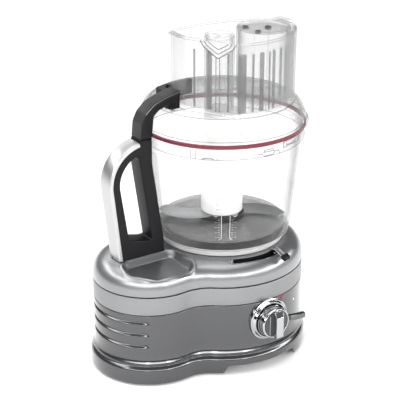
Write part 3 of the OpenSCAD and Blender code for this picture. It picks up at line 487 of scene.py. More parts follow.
class Shape:
    """Points in millimetres about the bowl's axis, and the faces between them."""

    def __init__(self, place=None):
        self.points, self.faces, self.place = [], [], place

    def add(self, points):
        """Adds a row of points and gives their numbers."""
        first = len(self.points)
        for p in points:
            self.points.append(self.place(*p) if self.place else tuple(p))
        return list(range(first, len(self.points)))

    def skin(self, rings, loop=False):
        """Faces from each closed ring of points to the next, and from the last to the first in a loop."""
        rows = [self.add(ring) for ring in rings]
        for a, b in zip(rows, rows[1:] + rows[:1] if loop else rows[1:]):
            self.faces.extend((a[i - 1], a[i], b[i], b[i - 1]) for i in (*range(1, len(a)), 0))
        return rows

    def cap(self, row):
        """One face over a ring."""
        self.faces.append(tuple(row))

    def plug(self, rings):
        """A skin that is closed at both ends."""
        rows = self.skin(rings)
        self.cap(rows[0])
        self.cap(rows[-1])

    def lathe(self, profile, centre=(0, 0), segments=144, loop=False):
        """A profile of (radius, height) turned about the local Z axis."""
        angles = np.radians(np.arange(segments) * 360 / segments)
        rings = [[(centre[0] + r * math.cos(a), centre[1] + r * math.sin(a), z) for a in angles] for r,
                 z in profile]
        self.skin(rings, loop)

    def prism(self, outline, bottom, top, edge=0.8, hold=0.8, steps=3, holes=()):
        """A solid with that outline in local X and Y, softened edges and holes through it."""
        rings = [(edge + hold, bottom)]
        rings += [(edge * (1 - math.sin(math.pi / 2 * k / steps)),
                   bottom + edge * (1 - math.cos(math.pi / 2 * k / steps)))
                  for k in range(steps + 1)]
        rings += [(d, top - (z - bottom)) for d, z in reversed(rings)]
        loops = [turned(outline)] + [turned(hole)[::-1] for hole in holes]
        sides = [self.skin([[(x, y, z) for x, y in drawn_in(loop, d)] for d, z in rings]) for loop in loops]
        if not holes:
            self.cap(sides[0][0])
            self.cap(sides[0][-1])
            return
        flat = [[Vector((x, y, 0)) for x, y in drawn_in(loop, edge + hold)] for loop in loops]
        for end in (0, -1):
            row = [i for side in sides for i in side[end]]
            self.faces.extend(tuple(row[i] for i in face) for face in geometry.tessellate_polygon(flat))

    def join(self, other):
        """Takes in another shape's points and faces."""
        first = len(self.points)
        self.points.extend(other.points)
        self.faces.extend(tuple(i + first for i in face) for face in other.faces)

    def tube(self, path, radius, sides):
        """A round bar along a path of points."""
        path = [np.array(p, float) for p in path]
        up = np.array((0.0, 0.0, 1.0))
        rings = []
        for i, p in enumerate(path):
            along = path[min(i + 1, len(path) - 1)] - path[max(i - 1, 0)]
            along /= np.linalg.norm(along)
            side = np.cross(along, up if abs(along @ up) < 0.9 else np.array((1.0, 0.0, 0.0)))
            side /= np.linalg.norm(side)
            other = np.cross(side, along)
            rings.append([tuple(p + radius * (side * math.cos(t) + other * math.sin(t)))
                          for t in np.linspace(0, 2 * math.pi, sides, endpoint=False)])
        self.plug(rings)

    def posts(self, places, bottom, top, radius, sides):
        """Upright round bars at each (x, y)."""
        for x, y in places:
            self.tube([(x, y, bottom), (x, y, top)], radius, sides)

    def make(self, name, look, body, nodes=(), slot=None, sharp=35.0, normals=None):
        """The Blender piece: it rides on body and stands for nodes."""
        data = bpy.data.meshes.new(name)
        co = np.array(self.points, float) * 0.001
        co[:, 0] += AXIS.x
        co[:, 1] += AXIS.y
        data.from_pydata(co.tolist(), [], self.faces)
        mesh = bmesh.new()
        mesh.from_mesh(data)
        bmesh.ops.remove_doubles(mesh, verts=mesh.verts, dist=4e-6)
        bmesh.ops.dissolve_degenerate(mesh, edges=mesh.edges, dist=1e-6)
        bmesh.ops.recalc_face_normals(mesh, faces=mesh.faces)
        mesh.to_mesh(data)
        mesh.free()
        data.shade_smooth()
        data.set_sharp_from_angle(angle=math.radians(sharp))
        if normals is not None:
            places = np.array([(v.co - Vector((AXIS.x, AXIS.y, 0))) * MM for v in data.vertices])
            current = np.array([v.normal for v in data.vertices])
            data.normals_split_custom_set_from_vertices(normals(places, current).tolist())
        piece = bpy.data.objects.new(name, data)
        bpy.context.scene.collection.objects.link(piece)
        data.materials.append(finish(look))
        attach(piece, body)
        if nodes:
            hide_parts(*nodes)


def toward_front(u, v, w):
    """Local axes of the knob: u to the right, v up and w out of the front wall."""
    return (u, -WALL_R - w, KNOB_Z + v)


def sideways(x, z, y):
    """Local axes of the handle: the outline stands in X and Z, its thickness is along Y."""
    return (x, y, z)


# ---------------------------------------------------------------- base

def ease(t):
    """A smooth step from 0 to 1."""
    t = np.clip(t, 0, 1)
    return t * t * (3 - 2 * t)


def base_levels(points, normals, levels):
    """One ring of the base's outline for each (offset, height); both may be arrays."""
    return [np.column_stack([points + normals * np.broadcast_to(offset, len(points))[:, None],
                             np.broadcast_to(z, len(points))]) for offset, z in levels]


# The skirt stays a hair inside the frame's box. Its front edge rises over the notch.
SKIRT_SHY = 0.05
SKIRT_LOW, SKIRT_TOP = 2.5, 21
NOTCH_X, NOTCH_HALF, NOTCH_SLOPE = -6, 53, 5
# The grooves lie this far below the body's top, and end this many degrees from the motor lobe's end.
GROOVE_DROPS = (11, 28, 45)
GROOVE_REACH, GROOVE_FADE = 61, 12


class PROCESSOR_OT_body(bpy.types.Operator):
    """Lower housing: flared skirt with a double bead, front cut-out and grooves round the motor lobe"""
    bl_idname = "processor.body"
    bl_label = "Body housing"

    def execute(self, context):
        s = context.scene.processor_base
        points, normals = base_outline(s.step * MM)
        x, y = points.T
        flare = SKIRT_R - WALL_R - SKIRT_SHY
        notch = np.clip((NOTCH_HALF - np.abs(x - NOTCH_X)) / NOTCH_SLOPE, 0, 1) * (y < 0)
        away = 180 - np.abs(np.degrees(np.arctan2(y, x + GAP)))
        wrap = np.clip((GROOVE_REACH - away) / GROOVE_FADE, 0, 1) * (x < WAIST_X)
        skirt = moved([(-3.1, SKIRT_TOP), (-3.1, 3.6), (-2.7, 2.8), (-2, SKIRT_LOW), (-0.9, SKIRT_LOW), (-0.3, 2.8),
                       (0, 3.6), (0, 9), (0, 15), (0, 19), (0, SKIRT_TOP)], flare, 0)
        lift = s.notch_height * MM * notch
        levels = [(offset, z + lift * (SKIRT_TOP - z) / (SKIRT_TOP - SKIRT_LOW)) for offset, z in skirt]
        levels += moved([(-0.2, 22.2), (-0.8, 23.4), (-1.8, 24.8), (-2.8, 26), (-3.5, 26.8), (-3.9, 27.5),
                         (-3.9, 28.1), (-3.3, 28.6), (-2.6, 29.1), (-2.3, 29.8), (-2.4, 30.6), (-2.9, 31.7),
                         (-3.6, 33), (-4.3, 34.5)], flare, 0)
        levels += [(0.75, 36.2), (0.35, 38.6), (0.12, 42), (0.02, 46)]
        depth, half = s.groove_depth * MM, s.groove_width * MM / 2
        for z in np.arange(50, BODY_TOP - 3, 0.55):
            carve = 0
            for drop in GROOVE_DROPS:
                rise = (z - (BODY_TOP - drop) + half) / (2 * half)
                carve = carve + depth * min(ease(rise / 0.68), ease((1 - rise) / 0.28))
            levels.append((-carve * wrap, z))
        levels += moved([(0, -1.4), (-0.15, -0.7), (-0.6, -0.35), (-3, -0.35), (-3, -9)], 0, BODY_TOP)
        shape = Shape()
        shape.skin(base_levels(points, normals, levels))
        shape.make("body_housing_skin", "body_grey", "base", ["body_housing"], sharp=60)
        return {"FINISHED"}


class PROCESSOR_OT_band(bpy.types.Operator):
    """Brushed trim band between the body and the deck"""
    bl_idname = "processor.band"
    bl_label = "Trim band"

    def execute(self, context):
        points, normals = base_outline(context.scene.processor_base.step * MM)
        levels = moved([(-3, 0.4), (-0.5, 0.4), (-0.1, 0.6), (0, 1), (0, 8)], 0, BODY_TOP)
        levels += moved([(0, -8), (0, -0.9), (-0.1, -0.5), (-0.5, -0.3), (-3, -0.3)], 0, BAND_TOP)
        shape = Shape()
        shape.skin(base_levels(points, normals, levels), loop=True)
        shape.make("trim_band_skin", "brushed_band", "base", ["trim_band"], sharp=60)
        return {"FINISHED"}


TRAY_CORNERS = [(-168, -13), (-87, -12), (-82, -69), (-110, -71), (-144, -67), (-171, -40)]
TRAY_ROUND = 15.0
TRAY_CORE = drawn_in(turned(TRAY_CORNERS), TRAY_ROUND)


def tray_distance(x, y):
    """Distance outside the tray's rim, negative inside it."""
    p = np.stack([x, y], 1)
    best, inside = np.full(len(p), 1e9), np.ones(len(p), bool)
    for a, b in zip(TRAY_CORE, np.roll(TRAY_CORE, -1, 0)):
        along = b - a
        t = np.clip((p - a) @ along / (along @ along), 0, 1)
        best = np.minimum(best, np.linalg.norm(p - a - t[:, None] * along, axis=1))
        inside &= (along[0] * (p[:, 1] - a[1]) - along[1] * (p[:, 0] - a[0])) > 0
    return np.where(inside, -best, best) - TRAY_ROUND


def tray_ring(distance):
    """The tray's rim moved out by distance."""
    points = []
    count = len(TRAY_CORE)
    for i in range(count):
        a, b, c = TRAY_CORE[i - 1], TRAY_CORE[i], TRAY_CORE[(i + 1) % count]
        first = math.degrees(math.atan2(-(b - a)[0], (b - a)[1]))
        last = math.degrees(math.atan2(-(c - b)[0], (c - b)[1]))
        points.extend(arc(b, TRAY_ROUND + distance, first, first + (last - first) % 360, 10))
    return even(points, 2.5)


def wall_distance(x, y):
    """How far a point is inside the base's wall."""
    lobe = WALL_R - np.hypot(x, y)
    other = MOTOR_R - np.hypot(x + GAP, y)
    side = np.abs(y)
    waist = np.hypot(x - WAIST_X, side - WAIST_Y) - WAIST_R
    between = (side * WAIST_X - x * WAIST_Y > 0) & (side * (WAIST_X + GAP) - (x + GAP) * WAIST_Y < 0)
    return np.where(between, waist, np.maximum(lobe, other))


def deck_height(x, y, tray_depth):
    """Height of the deck's skin, with its shoulder and its tray."""
    x, y = np.asarray(x, float), np.asarray(y, float)
    inner = SHOULDER_R - np.clip(wall_distance(x, y), 0, SHOULDER_R)
    dome = SHOULDER_Z + np.sqrt(np.maximum(SHOULDER_R ** 2 - inner ** 2, 0))
    away = tray_distance(x, y)
    floor = DECK_TOP - tray_depth * (0.45 + 0.55 * np.clip((-12 - y) / 50, 0, 1))
    blend = ease((0.4 - away) / 9.0)
    bead = 0.75 * np.exp(-((away - 0.9) / 1.2) ** 2)
    return dome * (1 - blend) + np.minimum(dome, floor) * blend + bead


SLOT_R = 94.0
SLOT_W = 7.0
SLOT_FIRST, SLOT_LAST = -25.0, 17.0
SPINDLE_HOLE_R = 24.5
# Up to this angle the shoulder is made of rings. Above it the deck is one trimmed sheet.
DOME_FROM = 30
SLOPE_STEP = 0.12


def slot_ring(inside, outside, left=None):
    """Loop round the lever slot, outside its edge by the two margins, and left beyond its left end."""
    a0 = SLOT_FIRST - 90 - math.degrees((outside if left is None else left) / SLOT_R)
    a1 = SLOT_LAST - 90 + math.degrees(outside / SLOT_R)
    outer = arc((0, 0), SLOT_R + SLOT_W / 2 + outside, a0, a1, 40)
    inner = arc((0, 0), SLOT_R - SLOT_W / 2 - inside, a1, a0, 40)
    return np.concatenate([outer, inner])


class PROCESSOR_OT_deck(bpy.types.Operator):
    """Domed deck with a scooped tray, the spindle hole and the lever slot"""
    bl_idname = "processor.deck"
    bl_label = "Deck housing"

    def execute(self, context):
        s = context.scene.processor_base
        tray_depth = s.tray_depth * MM
        points, normals = base_outline(s.step * MM * 1.7)
        shape = Shape()
        levels = moved([(-3, 9), (-3, 0.1), (-0.7, 0.1), (-0.2, 0.3), (0, 0.9), (0, 3)], 0, DECK_Z)
        levels += [(0, SHOULDER_Z)]
        levels += [(SHOULDER_R * (math.cos(a) - 1), SHOULDER_Z + SHOULDER_R * math.sin(a))
                   for a in np.radians(np.arange(5, DOME_FROM + 1, 5))]
        shape.skin(base_levels(points, normals, levels))
        loops = [points + normals * SHOULDER_R * (math.cos(a) - 1) for a in np.radians(np.arange(DOME_FROM, 91, 6))]
        loops += [points - normals * (SHOULDER_R + 2)]
        loops += [tray_ring(d) for d in (2.6, 2.1, 1.6, 1.1, 0.7, 0.2, -0.4, -1.1, -1.8, -2.6, -3.4, -4.2, -5, -6,
                                         -7, -8, -9)]
        loops += [slot_ring(0.4, 1.2), slot_ring(3, 3.5), slot_ring(7, 7),
                  circle((0, 0), SPINDLE_HOLE_R, 96), circle((0, 0), SPINDLE_HOLE_R + 1.5, 96)]
        flat, edges = [], []
        for loop in loops:
            first = len(flat)
            flat.extend(Vector(p) for p in loop)
            edges.extend((first + i, first + (i + 1) % len(loop)) for i in range(len(loop)))
        flat, _, faces, *_ = geometry.delaunay_2d_cdt(flat, edges, [], 0, 1e-5)
        xy = np.array([tuple(p) for p in flat])
        z = deck_height(xy[:, 0], xy[:, 1], tray_depth)
        centre = np.array([xy[list(f)].mean(0) for f in faces])
        radius = np.hypot(*centre.T)
        angle = np.degrees(np.arctan2(centre[:, 1], centre[:, 0])) + 90
        margin = math.degrees(1.2 / SLOT_R)
        in_slot = (radius > SLOT_R - SLOT_W / 2 - 0.4) & (radius < SLOT_R + SLOT_W / 2 + 1.2)
        in_slot &= (angle > SLOT_FIRST - margin) & (angle < SLOT_LAST + margin)
        dome_edge = SHOULDER_R * (1 - math.cos(math.radians(DOME_FROM))) - 0.02
        keep = (wall_distance(*centre.T) > dome_edge) & (radius > SPINDLE_HOLE_R) & ~in_slot
        row = shape.add(np.column_stack([xy, z]))
        shape.faces.extend(tuple(row[i] for i in f) for f, k in zip(faces, keep) if k)
        used = sorted({i for f in shape.faces for i in f})
        index = {old: new for new, old in enumerate(used)}
        shape.points = [shape.points[i] for i in used]
        shape.faces = [tuple(index[i] for i in f) for f in shape.faces]

        def slopes(co, current):
            """The deck's true normals away from its wall, the mesh's own near it."""
            h = SLOPE_STEP
            x, y = co[:, 0], co[:, 1]
            dx = (deck_height(x + h, y, tray_depth) - deck_height(x - h, y, tray_depth)) / (2 * h)
            dy = (deck_height(x, y + h, tray_depth) - deck_height(x, y - h, tray_depth)) / (2 * h)
            up = np.column_stack([-dx, -dy, np.ones(len(co))])
            up /= np.linalg.norm(up, axis=1, keepdims=True)
            return np.where((wall_distance(x, y) > 4)[:, None], up, current)

        shape.make("deck_housing_skin", "cast_grey", "base", ["deck_housing"], sharp=70, normals=slopes)

        rim = Shape()
        rings = []
        for inside, outside, left, rise in ((0, 0, 0, -0.4), (0, 0, 0, 0.2), (0.1, 0.3, 0.8, 0.6),
                                            (0.2, 0.8, 3.4, 0.7), (0.3, 1.2, 4.6, 0.4), (0.35, 1.3, 4.9, -0.4)):
            loop = slot_ring(inside, outside, left)
            rings.append(np.column_stack([loop, deck_height(loop[:, 0], loop[:, 1], tray_depth) + rise]))
        rim.skin(rings)
        # The slot frame is chrome drawn dark: painted dark reflection.
        rim.make("slot_frame_skin", "painted_reflection_chrome", "base", ["slot_frame"], sharp=50, slot="chrome_trim")
        # Black walls and floor inside the slot: painted shade for the dark inside of the slot.
        well = Shape()
        loop = slot_ring(0, 0)
        height = deck_height(loop[:, 0], loop[:, 1], tray_depth)
        bottom = np.full(len(loop), DECK_TOP - 17)
        rows = well.skin([np.column_stack([loop, height - 0.3]), np.column_stack([loop, bottom])])
        well.cap(rows[-1])
        well.make("slot_well", "black_plastic", "base")
        return {"FINISHED"}


LEVER_REST = 13


class PROCESSOR_OT_lever(bpy.types.Operator):
    """Slice lever: chrome finger piece with a black tip over the slot"""
    bl_idname = "processor.lever"
    bl_label = "Slice lever"

    def execute(self, context):
        rest = math.radians(LEVER_REST - 90)

        def place(r, z, side):
            """Local axes of the lever: out from the bowl's axis, up and sideways."""
            return (r * math.cos(rest) - side * math.sin(rest), r * math.sin(rest) + side * math.cos(rest), z)

        top = DECK_TOP
        arm = Shape(place)
        side = rounded(moved([(89, 1.6), (98, 1.4), (112, -5.2), (116, -6.4), (116, -3.4), (112.5, -2.2), (99, 4.0),
                              (89, 4.2)], 0, top), 1.4)
        arm.prism(side, -4.5, -2.6, 0.5, 0.4)
        arm.prism(side, 2.6, 4.5, 0.5, 0.4)
        web = moved([(89, 1.6), (98, 1.4), (111, -5), (111, -3.6), (98.5, 2.4), (89, 2.6)], 0, top)
        arm.prism(rounded(web, 0.6), -3.4, 3.4, 0.5, 0.4)
        arm.prism(moved([(91.7, -19), (96.3, -19), (96.3, 3), (91.7, 3)], 0, top), -2.5, 2.5, 0.4, 0.3)
        arm.make("slice_lever_finger", "chrome_trim", "slice_cam", ["slice_lever"])
        tip = Shape(place)
        cap = moved([(109.4, -5.0), (115.4, -7.4), (117.5, -5), (117, -0.8), (112, 1.2), (109.4, -0.4)], 0, top)
        tip.prism(rounded(cap, 1.5), -5.2, 5.2, 1.2, 0.6)
        tip.make("lever_tip_cap", "black_plastic", "slice_cam", ["lever_tip"])
        return {"FINISHED"}


class PROCESSOR_OT_knob(bpy.types.Operator):
    """Control knob: bezel, barrel with a face of painted dark reflection and painted highlight lines, grip bar,
    pulse paddle and indicator lens
    """
    bl_idname = "processor.knob"
    bl_label = "Control knob"

    def execute(self, context):
        bezel = Shape(toward_front)
        bezel.lathe(rounded([(23.5, -4), (29, -4), (29, 1.8), (27.6, 2.6), (26.9, 2.2), (26.2, 3.4), (24.9, 6),
                             (23.5, 6)], 0.5, 3), loop=True)
        bezel.make("knob_bezel_ring", "chrome_trim", "base", ["knob_bezel"])
        knob = Shape(toward_front)
        knob.lathe(rounded([(0, 9), (21, 9), (21, 16.4), (20, 18), (18.8, 18), (18.2, 17.2), (0, 17.2)],
                           [0, 0.6, 1.0, 0.6, 0.4, 0.2, 0], 4, closed=False))
        knob.make("control_knob_barrel", "chrome_trim", "knob", ["control_knob"])
        # Two dark halves of the knob's face beside the grip bar: painted dark reflection.
        face = Shape(toward_front)
        for side in (-1, 1):
            rim = arc((0, 0), 18.0, 90, 270, 40)
            outline = [(side * -p[0], p[1]) for p in rim if p[0] < -4.9] + [(side * 5.2, p) for p in (-17.2, 17.2)]
            outline = turned(sorted(outline, key=lambda p: math.atan2(p[1], p[0] - side * 11)))
            face.plug([[(u, v, w) for u, v in outline] for w in (18.5, 16.8)])
            # A thin bright satin bar on each half of the face: painted highlight.
            line = Shape(toward_front)
            near, far = side * 10.6 - 0.5, side * 10.6 + 0.5
            line.prism([(near, -13.5), (far, -13.5), (far, 13.5), (near, 13.5)], 18.0, 18.9, 0.15, 0.1, 2)
            line.make(f"control_knob_highlight_{'left' if side < 0 else 'right'}", "satin_silver", "knob")
        face.make("control_knob_reflection_face", "dark_metal", "knob")
        bar = Shape(lambda w, v, u: toward_front(u, v, w))
        bar.prism(rounded([(17.4, -17.6), (17.4, 17.4), (21, 17.4), (27, 12.2), (27, -16.6), (25.6, -17.6)],
                          [0, 0, 1, 1.4, 1.2, 1]), -5.5, 5.5, 0.9, 0.7, 4)
        bar.make("grip_bar_cap", "chrome_trim", "knob", ["grip_bar"])
        paddle = Shape(toward_front)
        paddle.lathe(rounded([(4.8, 1.6), (21, 1.6), (22.2, 2.6), (22.2, 7.4), (21, 8.4), (4.8, 8.4)], 0.8, 3),
                     loop=True)
        wing = Shape(lambda u, w, v: toward_front(u, v, w))
        wing.prism(rounded([(14, 6.8), (26, 6.8), (40, 11.5), (48.6, 12.2), (49, 15.2), (40, 15.6), (22.8, 11.4),
                            (14, 8.4)], [0, 4, 4, 1, 1, 4, 4, 0]), -4.6, 1.4, 0.7, 0.5)
        block = [(26, 8.0), (38, 10.6), (48.9, 11.4), (49, 17.4), (36, 17.0), (26, 14.0)]
        wing.prism(rounded(block, 1.6), -5.2, 2.2, 1.0, 0.6)
        paddle.join(wing)
        # The paddle is chrome drawn dark: painted dark reflection.
        paddle.make("pulse_paddle_wing", "painted_reflection_chrome", "paddle", ["pulse_paddle"], slot="chrome_trim")
        lens_x, lens_z = (middle("indicator_lens").x - AXIS.x) * MM, middle("indicator_lens").z * MM
        reach = math.sqrt(WALL_R ** 2 - lens_x ** 2)
        lens = Shape(lambda u, v, w: (lens_x + u, -reach - w, lens_z + v))
        lens.lathe([(2.45, -3), (2.45, 0.4), (2.1, 1.0), (1.3, 1.5), (0, 1.7)], segments=32)
        lens.make("indicator_lens_dome", "red_lens", "base", ["indicator_lens"])
        mark_x, mark_z = 50, 82
        mark = Shape(lambda u, v, w: (mark_x + u, -math.sqrt(WALL_R ** 2 - mark_x ** 2) - w, mark_z + v))
        mark.lathe([(1.5, -2), (1.5, 0.25), (1.2, 0.4), (0, 0.4)], segments=24)
        mark.make("pulse_mark", "print_white", "base", slot="white_plastic")
        return {"FINISHED"}


# ---------------------------------------------------------------- bowl

PIN_X = (middle("interlock_pin").x - AXIS.x) * MM
BAR_TOP_X = PIN_X + 8
BAR_TOP_Z = RIM_Z - 30
BAR_LOW_X = -100.0
SEAM_Z = RIM_Z + 4
BEND_X, BEND_Z, BEND_R = BAR_TOP_X - 9.5, DECK_TOP + 103.5, 54.0
LEAN = 0.112
LEAN_A = math.degrees(math.atan(LEAN))
FOOT_Z = DECK_TOP + 0.5
BOWL_LOW_R = 93
HANDLE_HALF = (high("handle_grip").y - middle("handle_grip").y) * MM


def bend(radius, last, steps=28):
    """The handle's upper bend, from the leaning grip round to the angle last."""
    return arc((BEND_X, BEND_Z), radius, 180 + LEAN_A, last, steps)


BEND_START = bend(BEND_R, 100)[0]
FOOT_X = BEND_START[0] + LEAN * (BEND_START[1] - FOOT_Z)


def bar_x(z):
    """The handle bar's face on the bowl side."""
    return BAR_LOW_X + (BAR_TOP_X - BAR_LOW_X) * (z - FLOOR_Z) / (BAR_TOP_Z - FLOOR_Z)


def wall_r(z):
    """Outer radius of the bowl's wall."""
    return BOWL_LOW_R + (BOWL_R - BOWL_LOW_R) * (z - FLOOR_Z) / (RIM_Z - FLOOR_Z)


def swept(path, section):
    """Rings of a section of (sideways, depth), carried along a path in X and Z."""
    along = np.gradient(path, axis=0)
    along /= np.linalg.norm(along, axis=1, keepdims=True)
    inward = np.stack([along[:, 1], -along[:, 0]], 1)
    return [[(p[0] + n[0] * d, y, p[1] + n[1] * d) for y, d in section] for p, n in zip(path, inward)]


class PROCESSOR_OT_handle(bpy.types.Operator):
    """Bowl handle: black frame with a finger gap and a satin silver grip cover"""
    bl_idname = "processor.handle"
    bl_label = "Bowl handle"

    def execute(self, context):
        half = HANDLE_HALF
        cover = 3.5
        arm_out, arm_in = BAR_TOP_X - 16, BAR_TOP_X
        outer = [(FOOT_X + cover, FOOT_Z)] + [tuple(p) for p in bend(BEND_R - cover, 100)] + [
            (arm_out, SEAM_Z - 0.6), (arm_in, SEAM_Z - 0.6), (BAR_TOP_X, BAR_TOP_Z), (BAR_LOW_X, FLOOR_Z),
            (BAR_LOW_X + 1, FOOT_Z)]
        gap_arc = bend(BEND_R - 16, 112)
        gap_low = FLOOR_Z - 2
        gap = [(FOOT_X + 16, gap_low + 8)] + [tuple(p) for p in gap_arc] + [
            (bar_x(gap_arc[-1][1] - 5) - 18, gap_arc[-1][1] - 5), (bar_x(gap_low) - 18, gap_low)]
        gap = rounded(gap, [3] + [0] * len(gap_arc) + [4, 3])
        body = Shape(sideways)
        body.prism(outer, -half, half, 2.2, 1.0, 4, holes=[gap])
        body.make("handle_frame_skin", "black_plastic", "bowl", ["handle_frame"], sharp=40)
        path = [(FOOT_X, FOOT_Z + 0.3)] + [tuple(p) for p in bend(BEND_R, 100, 40)]
        path = even(path, 4, closed=False)
        section = rounded([(-half, 4.6), (-half, 0), (half, 0), (half, 4.6)], [0.4, 4.2, 4.2, 0.4], 6)
        section = [(y, d + 0.9 * (y / half) ** 2) for y, d in even(section, 2.5)]
        grip = Shape()
        grip.plug(swept(path, section))
        grip.make("handle_grip_cover", "satin_silver", "bowl", ["handle_grip"], sharp=40)
        return {"FINISHED"}


def wall_line(shape, points, thickness):
    """A fine bead laid on the bowl's wall, through points of (angle in degrees, height)."""
    path = []
    for (a0, z0), (a1, z1) in zip(points, points[1:]):
        pieces = max(1, int(abs(a1 - a0) / 1.5))
        for k in range(pieces):
            path.append((a0 + (a1 - a0) * k / pieces, z0 + (z1 - z0) * k / pieces))
    path.append(points[-1])
    shape.tube([(wall_r(z) * math.cos(math.radians(a)), wall_r(z) * math.sin(math.radians(a)), z)
                for a, z in path], thickness, 6)


SCALE_TURN = -121.5


class PROCESSOR_OT_bowl(bpy.types.Operator):
    """Clear work bowl with its foot collar, centre post and printed scale"""
    bl_idname = "processor.bowl"
    bl_label = "Work bowl"

    def execute(self, context):
        s = context.scene.processor_bowl
        wall = s.wall * MM
        foot = DECK_TOP + 0.4
        bowl = Shape()
        post_top = DECK_TOP + 78
        profile = moved([(79.2, 0), (82, 0), (82.3, 7), (90.6, 12.5)], 0, foot)
        profile += [(92.6, FLOOR_Z - 3), (wall_r(RIM_Z - 1), RIM_Z), (wall_r(RIM_Z) - wall, RIM_Z),
                    (BOWL_LOW_R - wall + 0.6, FLOOR_Z + 7), (84.5, FLOOR_Z), (14, FLOOR_Z), (14, post_top),
                    (11, post_top), (11, FLOOR_Z - 3), (84, FLOOR_Z - 3), (79.4, foot + 8)]
        profile = rounded(profile, [0.8, 1.0, 3, 5, 6, 1.0, 1.0, 6, 5, 3, 1, 1, 1, 3, 2], 6)
        bowl.lathe(profile, loop=True, segments=180)
        rib = Shape(sideways)
        rib.prism(rounded([(BAR_LOW_X + 0.3, FLOOR_Z + 1), (BAR_TOP_X + 0.3, BAR_TOP_Z),
                           (BAR_TOP_X + 0.3, RIM_Z - 21), (-BOWL_R + 0.5, RIM_Z - 21),
                           (-BOWL_LOW_R - 0.4, FLOOR_Z + 1)], 2), -5, 5, 0.8, 0.5)
        bowl.join(rib)
        bowl.make("work_bowl", "clear_plastic", "bowl", ["bowl"], sharp=40)

        # A grey translucent disc on the clear floor: painted shade on the bowl's floor.
        disc = Shape()
        sheet = moved([(14.2, -2.8), (83.6, -2.8), (84.2, -0.4), (83.6, -0.2), (14.2, -0.2)], 0, FLOOR_Z)
        disc.lathe(rounded(sheet, 0.3, 2), loop=True, segments=180)
        disc.make("bowl_floor_disc", "painted_shade_sheet", "bowl", slot="clear_plastic")
        # The foot collar is clear plastic drawn pale and dense: painted light in the thick moulding.
        collar = Shape()
        band = moved([(82.2, 0.2), (83.4, 0.4), (83.6, 6.2), (90.9, 11.6), (90.4, 12.2), (82.4, 7.4)], 0, foot)
        collar.lathe(rounded(band, 0.5, 3), loop=True, segments=180)
        for r, z in ((83.9, foot + 2.2), (84.0, foot + 5.4)):
            collar.lathe(moved([(-0.5, -0.5), (0, -0.2), (0, 0.2), (-0.5, 0.5)], r, z), loop=True, segments=180)
        collar.make("bowl_foot_collar", "painted_light_plastic", "bowl", slot="clear_plastic", sharp=40)

        marks = Shape()
        thick = s.scale_width * MM / 2
        front = SCALE_TURN
        for side in (-1, 1):
            a = front + side * 3.3
            wall_line(marks, [(a + side * 2, FLOOR_Z + 6), (a, FLOOR_Z + 9), (a, FLOOR_Z + 44)], thick)
            for k in range(8):
                z = FLOOR_Z + 10 + 3.6 * k
                wall_line(marks, [(a + side * 1.2, z), (a + side * 2.6, z)], thick * 0.5)
                if k % 2 == 0:
                    wall_line(marks, [(a + side * 3.8, z), (a + side * 4.8, z)], thick * 0.6)
        for centre in (front - 7.5, front + 7.0):
            z0 = FLOOR_Z + 43
            loop = [(centre + 1.7 * math.cos(t), z0 + 2.9 * math.sin(t)) for t in np.linspace(0, 2 * math.pi, 20)]
            wall_line(marks, loop, thick * 1.1)
            wall_line(marks, [(centre - 0.35, z0), (centre + 0.35, z0)], 0.9)
        marks.make("bowl_scale", "print_white", "bowl", slot="white_plastic")
        faint = Shape()
        for k in range(11):
            z = FLOOR_Z + 50 + 7.0 * k
            wall_line(faint, [(front - 7.2, z), (front - 5.4, z)], 0.28)
            if k % 2 == 0:
                wall_line(faint, [(front - 4.6, z), (front - 3.8, z)], 0.28)
        for k in range(6):
            a = -62 + 3.0 * k
            wall_line(faint, [(a, FLOOR_Z + 60), (a + 1.8, FLOOR_Z + 60)], 0.3)
        faint.make("bowl_fill_marks", "grey_print_and_shade", "bowl", slot="black_plastic")
        return {"FINISHED"}


BLADE_R = 86.0


